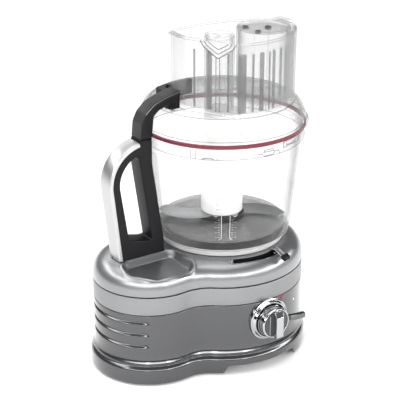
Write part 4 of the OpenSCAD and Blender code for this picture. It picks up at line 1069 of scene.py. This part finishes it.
class PROCESSOR_OT_blade(bpy.types.Operator):
    """White hub with its cap and black collar, and two crescent blades"""
    bl_idname = "processor.blade"
    bl_label = "Blade assembly"

    def execute(self, context):
        hub_r = context.scene.processor_bowl.hub_radius * MM
        hub_low, cap_top = low("blade_hub").z * MM, high("hub_cap").z * MM
        hub = Shape()
        hub.lathe(rounded([(15.2, hub_low), (hub_r, hub_low), (hub_r - 0.2, hub_low + 34),
                           (hub_r - 0.9, hub_low + 36), (hub_r - 1.2, 300),
                           (hub_r - 3.6, 306), (hub_r - 3.8, cap_top - 4), (hub_r - 7, cap_top - 4),
                           (hub_r - 7, 270), (15.2, 270)],
                          [0.5, 1.5, 1, 1, 6, 6, 0.8, 0.5, 1, 1], 5), loop=True)
        hub.make("blade_hub_sleeve", "white_plastic", "blade", ["blade_hub"])
        cap = Shape()
        cap.lathe(rounded([(0, cap_top - 3.6), (hub_r - 4.2, cap_top - 3.6), (hub_r - 4.2, cap_top - 0.6),
                           (hub_r - 7, cap_top), (9, cap_top),
                           (6, cap_top - 1.6), (0, cap_top - 1.6)], [0, 0.6, 1.4, 2, 1.5, 2, 0], 4, closed=False))
        cap.make("hub_cap_disc", "white_plastic", "blade", ["hub_cap"])
        collar = Shape()
        z0, z1 = low("blade_collar").z * MM, high("blade_collar").z * MM
        z_low, z_high = high("lower_blade").z * MM, low("lower_blade").z * MM
        collar.lathe(rounded([(15.3, z0), (29, z0), (30, z0 + 1), (30, z_high), (15.3, z_high)],
                             [0.3, 1.2, 0.8, 0.4, 0.3], 3), loop=True)
        collar.lathe(rounded([(15.3, z_low), (30, z_low), (30, z1 - 1.4), (29, z1), (15.3, z1)],
                             [0.3, 0.4, 0.8, 1.0, 0.3], 3), loop=True)
        collar.posts(arc((0, 0), 30, 0, 345, 23), z_low + 0.4, z1 - 1.6, 0.45, 8)
        collar.make("blade_collar_rings", "black_plastic", "blade", ["blade_collar"])
        for node, turn in (("lower_blade", 0.0), ("upper_blade", 180.0)):
            self.blade(node, turn, low(node).z * MM, high(node).z * MM)
        return {"FINISHED"}

    @staticmethod
    def blade(node, turn, bottom, top):
        """One crescent: a strip between its two edges, ground thin along the cutting edge."""
        size = BLADE_R
        outer_c, outer_r = np.array((0.31, -0.38)) * size, 0.545 * size
        inner_c, inner_r = np.array((0.09, -0.77)) * size, 0.58 * size
        for tip in np.arange(-60, 60, 0.05):
            p = outer_c + outer_r * np.array((math.cos(math.radians(tip)), math.sin(math.radians(tip))))
            if np.linalg.norm(p - inner_c) > inner_r and np.linalg.norm(p) < size - 0.2:
                break
        else:
            raise RuntimeError("the blade's two edges do not meet inside the bowl")
        outer = arc(outer_c, outer_r, tip, 128, 60)
        start = outer[0]
        first = math.degrees(math.atan2(*(start - inner_c)[::-1]))
        inner = arc(inner_c, inner_r, first, 118, 60)
        shape = Shape()
        spin = math.radians(turn)
        rows = []
        mid = (bottom + top) / 2
        for o, i in zip(outer, inner):
            width = np.linalg.norm(o - i)
            bevel = min(0.35, 5.0 / max(width, 0.5))
            ring = []
            for t, z in ((0, mid), (bevel, top), (1, top), (1, bottom), (bevel, bottom)):
                p = o * (1 - t) + i * t
                ring.append((p[0] * math.cos(spin) - p[1] * math.sin(spin),
                             p[0] * math.sin(spin) + p[1] * math.cos(spin), z))
            rows.append(ring)
        shape.plug(rows)
        shape.lathe(rounded([(15.3, bottom), (25.5, bottom), (25.5, top), (15.3, top)], 0.2, 2), loop=True,
                    segments=64)
        shape.make(f"{node}_steel", "blade_steel", "blade", [node], sharp=25)


# ---------------------------------------------------------------- lid

TUBE_R = 94.0
TUBE_LEFT, TUBE_RIGHT = -(TUBE_R - 22), TUBE_R - 10
TUBE_BACK = (-19.0, 26.5 - 161, 161.0)
TUBE_CUT = (TUBE_LEFT, -20.0, 27.0)
SPOKE_C = np.array((5.0, -38.0))
SPOKES = np.stack([np.cos(np.radians(np.arange(0, 360, 0.75))), np.sin(np.radians(np.arange(0, 360, 0.75)))], 1)
SHELF_Z = LID_TOP - 26.0
MEDIUM = (38.0, -36.0, 33.0)
SMALL = (-34.0, -42.0, 17.0)
RIB_R, RIB_INSET = 88.8, 5.2


def reach(radius, centre=(0.0, 0.0)):
    """How far each spoke goes before it leaves a circle."""
    start = SPOKE_C - np.array(centre)
    along = SPOKES @ start
    return -along + np.sqrt(np.maximum(along ** 2 - start @ start + radius ** 2, 0))


def circle_row(radius, z):
    """A ring of the lid, one point on each spoke."""
    return [(x, y, z) for x, y in SPOKE_C + SPOKES * reach(radius)[:, None]]


def tube_plan(inset):
    """The feed tube's outline, inset from its outer face, one point on each spoke."""
    a = math.radians(TUBE_CUT[2])
    far = [reach(TUBE_R - inset), reach(TUBE_BACK[2] - inset, TUBE_BACK[:2])]
    planes = [((-1.0, 0.0), -(TUBE_LEFT + inset)), ((1.0, 0.0), TUBE_RIGHT - inset),
              ((-math.cos(a), -math.sin(a)), -(math.cos(a) * TUBE_CUT[0] + math.sin(a) * TUBE_CUT[1] + inset))]
    for normal, limit in planes:
        outward = SPOKES @ np.array(normal)
        left = limit - SPOKE_C @ np.array(normal)
        far.append(np.where(outward > 1e-6, left / np.maximum(outward, 1e-6), 1e9))
    distance = np.min(far, axis=0)
    for _ in range(2):
        distance = (np.roll(distance, 1) + distance * 2 + np.roll(distance, -1)) / 4
    return SPOKE_C + SPOKES * distance[:, None]


def tube_row(inset, z):
    """A ring of the feed tube."""
    return [(x, y, z) for x, y in tube_plan(inset)]


def spoke_at(x, y):
    """The spoke that points at (x, y)."""
    return int(round(math.degrees(math.atan2(y - SPOKE_C[1], x - SPOKE_C[0])) % 360 / 0.75)) % len(SPOKES)


class PROCESSOR_OT_lid(bpy.types.Operator):
    """Clear domed lid with its skirt, latch window and tab, and the red seal"""
    bl_idname = "processor.lid"
    bl_label = "Lid and seal"

    def execute(self, context):
        wall = context.scene.processor_lid.wall * MM
        skirt = FLANGE_R - 4.5
        low_z = low("lid").z * MM + 0.1
        shelf = SHELF_Z
        profile = moved([(0.2, 0.4), (0.6, 0)], skirt - wall, low_z)
        profile += moved([(-0.4, 0), (0, 0.4), (0, 3.6), (-0.5, 4.2)], skirt, low_z)
        profile += [(skirt - 0.5, RIM_Z + 0.8), (skirt - 1, RIM_Z + 1.0), (skirt - 1, shelf - 3.5)]
        profile += moved([(-0.4, -3.5), (0, -3.1), (0, -0.6), (-0.6, 0), (-2.6, 0.6), (-3.2, 1.6), (-4.2, 6),
                          (-5.5, 11), (-7.5, 16), (-10.5, 20.5), (-13.5, 23.6), (-16.5, 25.3)], FLANGE_R, shelf)
        profile += [(FLANGE_R - 18.2, LID_TOP)]
        inner = moved([(-19, 0), (-14.5, -2)], FLANGE_R, LID_TOP - wall)
        inner += moved([(-10, 14), (-7.4, 6), (-6.4, -1)], FLANGE_R, shelf)
        inner += [(skirt - wall - 2.6, shelf - 3), (skirt - wall - 2.2, RIM_Z + 1.8), (skirt - wall, RIM_Z + 1.6)]
        lid = Shape()
        rings = [circle_row(r, z) for r, z in profile]
        rings += [tube_row(wall, LID_TOP), tube_row(wall, LID_TOP - wall)]
        rings += [circle_row(r, z) for r, z in inner]
        lid.skin(rings, loop=True)
        # The latch mouldings are traced in grey: painted shade.
        latch = Shape()
        self.latch(latch, skirt - 0.3)
        latch.make("lid_latch_lines", "painted_shade_plastic", "lid", slot="clear_plastic")
        lid.make("lid_shell", "clear_plastic", "lid", ["lid"], sharp=32)
        # Dark grey rings along the lid's flange, dome, tube foot and skirt edges: painted shade for the dark lines
        # at these edges.
        edge_shade = Shape()
        for r, z, size in ((FLANGE_R - 0.5, shelf - 3.3, 0.45), (FLANGE_R - 3.0, shelf + 1.0, 0.4),
                           (FLANGE_R - 18.6, LID_TOP - 0.5, 0.4), (skirt - 0.5, low_z + 0.5, 0.4),
                           (skirt - 0.7, RIM_Z + 0.6, 0.4)):
            edge_shade.lathe(moved([(-size, 0), (0, -size), (size * 0.9, 0), (0, size * 0.9)], r, z), loop=True,
                        segments=180)
        edge_shade.make("lid_edge_shade_lines", "painted_shade_plastic", "lid", slot="clear_plastic")
        seal = Shape()
        r0, r1 = skirt - 0.9, SEAL_R
        z0, z1 = low("lid_seal").z * MM, high("lid_seal").z * MM
        seal.lathe(rounded([(r0, z0), (r1 - 0.5, z0), (r1, z0 + 1.0), (r1 - 0.5, (z0 + z1) / 2), (r1, z1 - 1.0),
                            (r1 - 0.5, z1), (r0, z1)], 0.3, 2), loop=True)
        seal.make("lid_seal_ring", "red_seal", "lid", ["lid_seal"])
        return {"FINISHED"}

    @staticmethod
    def latch(lid, skirt):
        """Window frame, tab and seams moulded on the skirt, drawn as dark grey tubes: painted shade along these
        mouldings.
        """
        def on_skirt(a, z):
            return (skirt * math.cos(math.radians(a)), skirt * math.sin(math.radians(a)), z)

        low_z = low("lid").z * MM
        for points in ([(-101, 0.8), (-100, 5.0), (-97, 5.0), (-95.6, 1.6), (-88.4, 1.6), (-87, 5.4), (-83.6, 5.4),
                        (-82.6, 0.8)],
                       [(-96, 6.6), (-95, 9.2), (-88.6, 9.2), (-87.6, 6.6), (-96, 6.6)],
                       [(-79, 13.2), (-79, 6.0), (-60, 6.0), (-60, 13.2), (-79, 13.2)],
                       [(-76, 10.8), (-76, 8.2), (-66, 8.2), (-66, 10.8)],
                       [(-138, 0.8), (-137, 2.4), (-131, 2.4), (-130, 0.8)]):
            lid.tube([on_skirt(a, low_z + rise) for a, rise in points], 0.6, 6)
        for a in (-146.0, -142.5):
            lid.tube([on_skirt(a, low_z + 0.8), on_skirt(a, low_z + 13)], 0.45, 6)


class PROCESSOR_OT_tube(bpy.types.Operator):
    """Clear feed tube with its corner ribs"""
    bl_idname = "processor.tube"
    bl_label = "Feed tube"

    def execute(self, context):
        wall = context.scene.processor_lid.wall * MM
        top = TUBE_TOP
        tube = Shape()
        rows = [(wall, LID_TOP - 0.4)]
        rows += moved([(-1.2, -0.2), (-0.9, 0.7), (-0.2, 1.8), (0, 3), (0, 40)], 0, LID_TOP)
        rows += moved([(0, -1), (0.3, -0.2), (1, 0)], 0, top) + moved([(-0.4, 0), (0, -0.5)], wall, top)
        rows += [(wall, LID_TOP + 40)]
        tube.skin([tube_row(inset, z) for inset, z in rows], loop=True)
        plan = tube_plan(0.2)
        corners = ((-49, -67), (-45, -71), (-63, -38), (78, -46), (82, -30))
        tube.posts([plan[spoke_at(x, y)] for x, y in corners], LID_TOP + 1, top - 1, 0.9, 10)
        tube.make("feed_tube_wall", "clear_plastic", "lid", ["feed_tube"], sharp=35)
        return {"FINISHED"}


def arm_outline(rise):
    """The lid arm's upper and lower edges in X and Z, the upper one moved up by rise."""
    top = LID_TOP + 20 + rise
    out, near = BAR_TOP_X - 16, BAR_TOP_X
    end = TUBE_LEFT - 1.5
    upper = [(out, SEAM_Z)] + moved([(2, -32), (8, -20), (20, -10), (36, -4)], out, top) + [(end, top + 1)]
    lower = [(end, LID_TOP + 0.3), (end - 16, LID_TOP + 0.3), (end - 17, top - 13)]
    lower += moved([(11, -17), (3, -24)], near, top) + [(near, SEAM_Z)]
    upper = rounded(upper, 12, 6, closed=False)
    lower = rounded(lower, [0, 3, 5, 8, 8, 0], 6, closed=False)
    return upper, lower


class PROCESSOR_OT_arm(bpy.types.Operator):
    """Lid arm: black frame, dark outer panel with a bright edge line and the tail beside the tube"""
    bl_idname = "processor.arm"
    bl_label = "Lid arm"

    def execute(self, context):
        half = HANDLE_HALF
        upper, lower = arm_outline(0)
        arm = Shape(sideways)
        arm.prism(even(upper + lower, 6), -half, half, 1.6, 0.8, 4)
        tail = Shape()
        left = TUBE_LEFT
        plan = moved([(-14, -3), (-1.6, -3), (-1.6, 8), (4, 13.6)], left, half)
        plan += [(-26, half + 18.6), (-24, half + 29), (left - 14, half + 16)]
        plan = rounded(plan, [0, 0, 3, 4, 2, 3, 8], 5)
        tail.prism(plan, LID_TOP + 0.3, LID_TOP + 19.8, 1.4, 0.8, 4)
        arm.join(tail)
        arm.make("lid_arm_frame", "black_plastic", "lid", ["lid_arm"], sharp=40)
        top = even(arm_outline(1.5)[0], 3, closed=False)
        section = rounded([(-half + 2, 1.9), (-half + 2, 0.0), (half - 2, 0.0), (half - 2, 1.9)],
                          [0.2, 1.2, 1.2, 0.2], 4)
        panel = Shape()
        panel.plug(swept(top, section))
        panel.make("lid_arm_panel", "arm_panel", "lid", ["arm_cover"], slot="black_plastic", sharp=40)
        line = Shape()
        for side in (-1, 1):
            line.tube([ring[0] for ring in swept(top, [(side * (half - 1.7), 1.2)])], 0.45, 6)
        line.make("lid_arm_edge", "satin_silver", "lid")
        return {"FINISHED"}


class PROCESSOR_OT_pushers(bpy.types.Operator):
    """The three clear pushers nested in the feed tube"""
    bl_idname = "processor.pushers"
    bl_label = "Pushers"

    def execute(self, context):
        pitch = context.scene.processor_lid.flute_pitch * MM
        floor, top = low("large_pusher").z * MM, high("large_pusher").z * MM
        tube_wall, pusher_wall = 3.0, 2.0
        large = Shape()
        rim = TUBE_TOP + 0.3
        inner = tube_wall + pusher_wall
        rows = [(tube_wall, floor), (tube_wall, TUBE_TOP - 30), (tube_wall, rim), (0.3, rim), (0, rim + 0.4),
                (0, top - 0.6), (0.6, top), (tube_wall + 1.4, top), (inner, top - 0.6),
                (inner, floor + pusher_wall)]
        large.skin([tube_row(inset, z) for inset, z in rows])
        for x, y, r in (MEDIUM, SMALL):
            large.lathe([(r + pusher_wall, floor), (r + pusher_wall, top - 0.4), (r + pusher_wall - 0.4, top),
                         (r + 0.4, top), (r, top - 0.4), (r, floor)], (x, y), 96, loop=True)
        for inset, z in ((tube_wall, floor), (inner, floor + pusher_wall)):
            large.skin([tube_row(inset, z), [tuple(SPOKE_C) + (z,)] * len(SPOKES)])
        edge = tube_plan(tube_wall + 0.2)
        start, stop = spoke_at(-40, -80), spoke_at(78, -40)
        walked, last = 0.0, edge[start]
        for i in range(start, stop + len(SPOKES) if stop < start else stop):
            p = edge[i % len(SPOKES)]
            walked += np.linalg.norm(p - last)
            last = p
            if walked >= pitch:
                walked = 0.0
                large.posts([p], floor + 4, TUBE_TOP - 8, 0.8, 8)
        self.spout(top)
        self.ribs(floor)
        large.join(self.tabs(top))
        large.make("large_pusher_cup", "clear_plastic", "large_pusher", ["large_pusher"], sharp=35)

        x, y, r = MEDIUM
        rest = TUBE_TOP + 2.9
        m_top = high("medium_pusher").z * MM
        medium = Shape()
        medium.lathe(self.cup(r, floor, rest, m_top), (x, y), 120)
        plate = Shape()
        lid_z = m_top - 2.4
        holes = [circle((x - 15, y + 19), 4.2, 24), circle((x + 8, y + 2), 4.4, 24),
                 circle((x - 15, y - 8), 3.8, 24)]
        plate.prism(circle((x, y), r - 2.2, 96), lid_z - 1.8, lid_z, 0.3, 0.4, 2, holes=holes)
        medium.join(plate)
        medium.posts(arc((x, y), 12, 20, 260, 2), floor + 3, lid_z - 2, 1.0, 10)
        medium.make("medium_pusher_cup", "clear_plastic", "medium_pusher", ["medium_pusher"], sharp=35)
        # Grey sleeves inside the three holes of the plate: painted shade in the holes.
        dark = Shape()
        for hole in holes:
            centre = hole.mean(0)
            radius = np.linalg.norm(hole[0] - centre)
            ring = moved([(-0.7, -3.5), (-0.05, -3.5), (-0.05, 0.15), (-0.7, 0.15)], radius, lid_z)
            dark.lathe(rounded(ring, 0.2, 2), tuple(centre), 32, loop=True)
        dark.make("medium_pusher_hole_shade_rings", "grey_print_and_shade", "medium_pusher", slot="black_plastic")

        x, y, r = SMALL
        s_top = high("small_pusher").z * MM
        small = Shape()
        small.lathe(self.cup(r, floor, rest, s_top), (x, y), 96)
        for px, py in arc((x, y), r - 3, 90, 330, 2):
            small.tube([(x, y, s_top - 2), (px, py, s_top - 2)], 1.3, 8)
        small.make("small_pusher_cup", "clear_plastic", "small_pusher", ["small_pusher"], sharp=35)
        return {"FINISHED"}

    @staticmethod
    def cup(r, floor, rest, top):
        """Profile of a round pusher: a cup with a flange that rests on the larger pusher."""
        profile = [(0, floor + 0.2), (r - 0.5, floor + 0.2)]
        profile += moved([(-0.5, 0), (1.4, 0), (1.6, 0.4)], r, rest)
        profile += moved([(1.6, -0.5), (1.1, 0), (-1.6, 0), (-2.1, -0.6)], r, top)
        return profile + [(r - 2.5, floor + 2.2), (0, floor + 2.2)]

    @staticmethod
    def facet(t, inset, z):
        """A point on the tube's slanting front facet, t along it from its left corner."""
        a = math.radians(TUBE_CUT[2])
        return (TUBE_CUT[0] + math.sin(a) * t + math.cos(a) * inset,
                TUBE_CUT[1] - math.cos(a) * t + math.sin(a) * inset, z)

    def spout(self, top):
        """V-shaped spout below the rim, with a second line inside it. Its plate is pale, painted light in the thick
        moulding; its outlines and the two upright lines are dark grey, painted shade.
        """
        plate, lines = Shape(), Shape()
        high_z = top - 1.2
        for first, last, drop, radius in ((35, 60, 8.5, 0.5), (29, 65, 14.5, 0.6), (24, 70, 20.0, 0.8)):
            point = (first + last) / 2
            corners = rounded([(first - 1.5, high_z), (first + 2, high_z - drop * 0.32), (point, high_z - drop),
                               (last - 2, high_z - drop * 0.32), (last + 1.5, high_z)],
                              [0, 5, 4, 5, 0], 8, closed=False)
            lines.tube([self.facet(t, 0.9, z) for t, z in corners], radius, 10)
        plate.plug([[self.facet(t, inset, z) for t, z in corners] for inset in (1.4, 2.4)])
        plate.make("pusher_spout_plate", "painted_light_plastic", "large_pusher", slot="clear_plastic")
        for t in (44.5, 49.5):
            lines.tube([self.facet(t, 1.0, high_z - 19), self.facet(t, 1.0, LID_TOP + 4)], 0.55, 8)
        lines.make("pusher_spout_lines", "painted_shade_plastic", "large_pusher", slot="clear_plastic")

    @staticmethod
    def tabs(top):
        """Rim flange's left lip and the raised latch tab at its right."""
        tabs = Shape()
        right_tab = moved([(-12, -34), (3, -34), (3, -8), (-12, -6)], TUBE_RIGHT, 0)
        left_lip = moved([(-4, -14), (6, -14), (6, 14), (-4, 12)], TUBE_LEFT, 0)
        tabs.prism(rounded(right_tab, 3), top - 1.2, top + 2.6, 0.8, 0.5, 3)
        tabs.prism(rounded(left_lip, 3), top - 2.4, top, 0.6, 0.4, 2)
        return tabs

    def ribs(self, floor):
        """Upright ribs inside the large pusher's front wall, in grey clear plastic whose grey is painted shade."""
        ribs = Shape()
        for first, last, depth in ((-112, -105.5, 4), (-100, -98.6, 2), (-92.5, -89.5, 3), (-84, -83, 1.5),
                                   (-79.5, -77.5, 2), (-70, -68.5, 2), (-61, -59.6, 2), (-52, -51, 2)):
            plan = np.concatenate([arc((0, 0), RIB_R, first, last, 4), arc((0, 0), RIB_R - depth, last, first, 4)])
            ribs.prism(plan, floor + 3, TUBE_TOP - 12, 0.3, 0.2, 2)
        near, far = RIB_INSET, RIB_INSET + 2
        for first, last in ((30, 35.5), (10, 12), (58, 60)):
            corners = ((first, near), (last, near), (last, far), (first, far))
            plan = [self.facet(t, inset, 0)[:2] for t, inset in corners]
            ribs.prism(plan, floor + 3, TUBE_TOP - 12, 0.3, 0.2, 2)
        ribs.make("pusher_ribs", "painted_shade_plastic", "large_pusher", slot="clear_plastic")


# ---------------------------------------------------------------- underside and inner parts

class PROCESSOR_OT_inner(bpy.types.Operator):
    """Finishes for the parts that keep the frame's own meshes"""
    bl_idname = "processor.inner"
    bl_label = "Inner parts"

    def execute(self, context):
        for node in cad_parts.values():
            if not node.hide_render:
                node.data.materials[0] = finish(node.data.materials[0].name)
        return {"FINISHED"}


# ---------------------------------------------------------------- stage

def card(name, size, look):
    """A flat stage card lying on the floor."""
    w, h = size[0] / 2, size[1] / 2
    data = bpy.data.meshes.new(name)
    data.from_pydata([(-w, -h, 0), (w, -h, 0), (w, h, 0), (-w, h, 0)], [], [(0, 1, 2, 3)])
    data.materials.append(look)
    piece = bpy.data.objects.new(name, data)
    bpy.context.scene.collection.objects.link(piece)
    return piece


def aim(piece, place, target, axis="Z"):
    """Moves a stage object to place and turns its axis to the target."""
    piece.location = place
    piece.rotation_euler = (Vector(target) - Vector(place)).to_track_quat(axis, "Y").to_euler()


def lamp(name, data):
    """The stage object of a light."""
    piece = bpy.data.objects.new(name, data)
    bpy.context.scene.collection.objects.link(piece)
    return piece


def area_light(name, power, size, place, target):
    """A rectangular softbox at place, aimed at the target."""
    data = bpy.data.lights.new(name, "AREA")
    data.shape, data.size, data.size_y, data.energy = "RECTANGLE", size[0], size[1], power
    aim(lamp(name, data), place, target, "-Z")


def around(radius, degrees, height):
    """A place round the object, in metres."""
    a = math.radians(degrees)
    return (radius * math.cos(a), radius * math.sin(a), height)


STRIP_R, FLAG_R = 1.5, 3.0
CAMERA_LENS, CAMERA_TILT, CAMERA_TURN = 111.29, 67.56, -33.55
CAMERA_PLACE = (-0.8348, -1.2555, 0.83875)


class PROCESSOR_OT_stage(bpy.types.Operator):
    """Pale floor, soft studio light and the camera"""
    bl_idname = "processor.stage"
    bl_label = "Stage"

    def execute(self, context):
        studio = context.scene.processor_studio
        world = bpy.data.worlds.new("room")
        context.scene.world = world
        world.use_nodes = True
        background = world.node_tree.nodes["Background"]
        background.inputs["Color"].default_value = (1, 1, 1, 1)
        background.inputs["Strength"].default_value = studio.sky
        pale = Finish("floor_pale").principled({
            "Base Color": rgba(studio.floor), "Roughness": 0.7, "Specular IOR Level": 0.2})
        card("floor", (16, 16), pale)
        sky = bpy.data.lights.new("soft_sky", "SUN")
        sky.energy, sky.angle = studio.key, math.radians(studio.softness * 180)
        lamp("soft_sky", sky).rotation_euler = (math.radians(-6), math.radians(-4), 0)
        for k, turn in enumerate((-150, -110, -70, -30)):
            area_light(f"front_strip_{k}", studio.strip, (1.3, 0.22), around(STRIP_R, turn, 0.66), (0, 0, 0.12))
        for k, turn in enumerate((172, 128)):
            area_light(f"side_strip_{k}", studio.strip * 0.8, (1.2, 0.3), around(STRIP_R, turn, 1.1), (0, 0, 0.12))
        area_light("back_box", studio.box, (1.6, 0.4), (0.3, 1.5, 1.1), (-0.02, 0.0, 0.2))
        black = Finish("flag_black").principled({
            "Base Color": (0.01, 0.01, 0.01, 1), "Roughness": 1.0, "Specular IOR Level": 0.0})
        for k, turn in enumerate((-160, -120, -90, -50, 0)):
            flag = card(f"flag_{k}", (1.7, 1.1), black)
            aim(flag, around(FLAG_R, turn, 0.62), (0, 0, 0.3))
            flag.visible_camera = flag.visible_shadow = False
        camera = bpy.data.cameras.new("camera")
        camera.lens, camera.sensor_width, camera.clip_end = CAMERA_LENS, 36, 50
        eye = bpy.data.objects.new("camera", camera)
        eye.location = CAMERA_PLACE
        eye.rotation_euler = (math.radians(CAMERA_TILT), 0, math.radians(CAMERA_TURN))
        context.scene.collection.objects.link(eye)
        context.scene.camera = eye
        context.scene.view_settings.view_transform = "Standard"
        context.scene.cycles.transparent_max_bounces = 48
        return {"FINISHED"}


class PROCESSOR_OT_finishes(bpy.types.Operator):
    """Lays the procedural materials"""
    bl_idname = "processor.finishes"
    bl_label = "Finishes"

    def execute(self, context):
        make_finishes()
        return {"FINISHED"}


OPERATORS = (
    PROCESSOR_OT_finishes, PROCESSOR_OT_body, PROCESSOR_OT_band, PROCESSOR_OT_deck, PROCESSOR_OT_lever,
    PROCESSOR_OT_knob,
    PROCESSOR_OT_bowl, PROCESSOR_OT_handle, PROCESSOR_OT_blade, PROCESSOR_OT_lid, PROCESSOR_OT_tube,
    PROCESSOR_OT_arm,
    PROCESSOR_OT_pushers, PROCESSOR_OT_inner, PROCESSOR_OT_stage,
)
GROUPS = {
    "processor_base": BaseSizes, "processor_bowl": BowlSizes, "processor_lid": LidSizes,
    "processor_colours": FinishColours, "processor_studio": StudioSettings,
}


class PROCESSOR_PT_panel(bpy.types.Panel):
    """Sizes, colours and the operators that make the pieces"""
    bl_idname = "PROCESSOR_PT_panel"
    bl_label = "Food processor"
    bl_space_type = "VIEW_3D"
    bl_region_type = "UI"
    bl_category = "Processor"

    def draw(self, context):
        for pointer, group in GROUPS.items():
            box = self.layout.box()
            for name in group.__annotations__:
                box.prop(getattr(context.scene, pointer), name)
        column = self.layout.column()
        for operator in OPERATORS:
            column.operator(operator.bl_idname)


def register():
    for group in GROUPS.values():
        bpy.utils.register_class(group)
    for pointer, group in GROUPS.items():
        setattr(bpy.types.Scene, pointer, bpy.props.PointerProperty(type=group))
    for operator in OPERATORS:
        bpy.utils.register_class(operator)
    bpy.utils.register_class(PROCESSOR_PT_panel)


def unregister():
    bpy.utils.unregister_class(PROCESSOR_PT_panel)
    for operator in reversed(OPERATORS):
        bpy.utils.unregister_class(operator)
    for pointer in GROUPS:
        delattr(bpy.types.Scene, pointer)
    for group in GROUPS.values():
        bpy.utils.unregister_class(group)


def main():
    register()
    for operator in OPERATORS:
        getattr(bpy.ops.processor, operator.bl_idname.split(".")[1])()


if __name__ == "__main__":
    main()
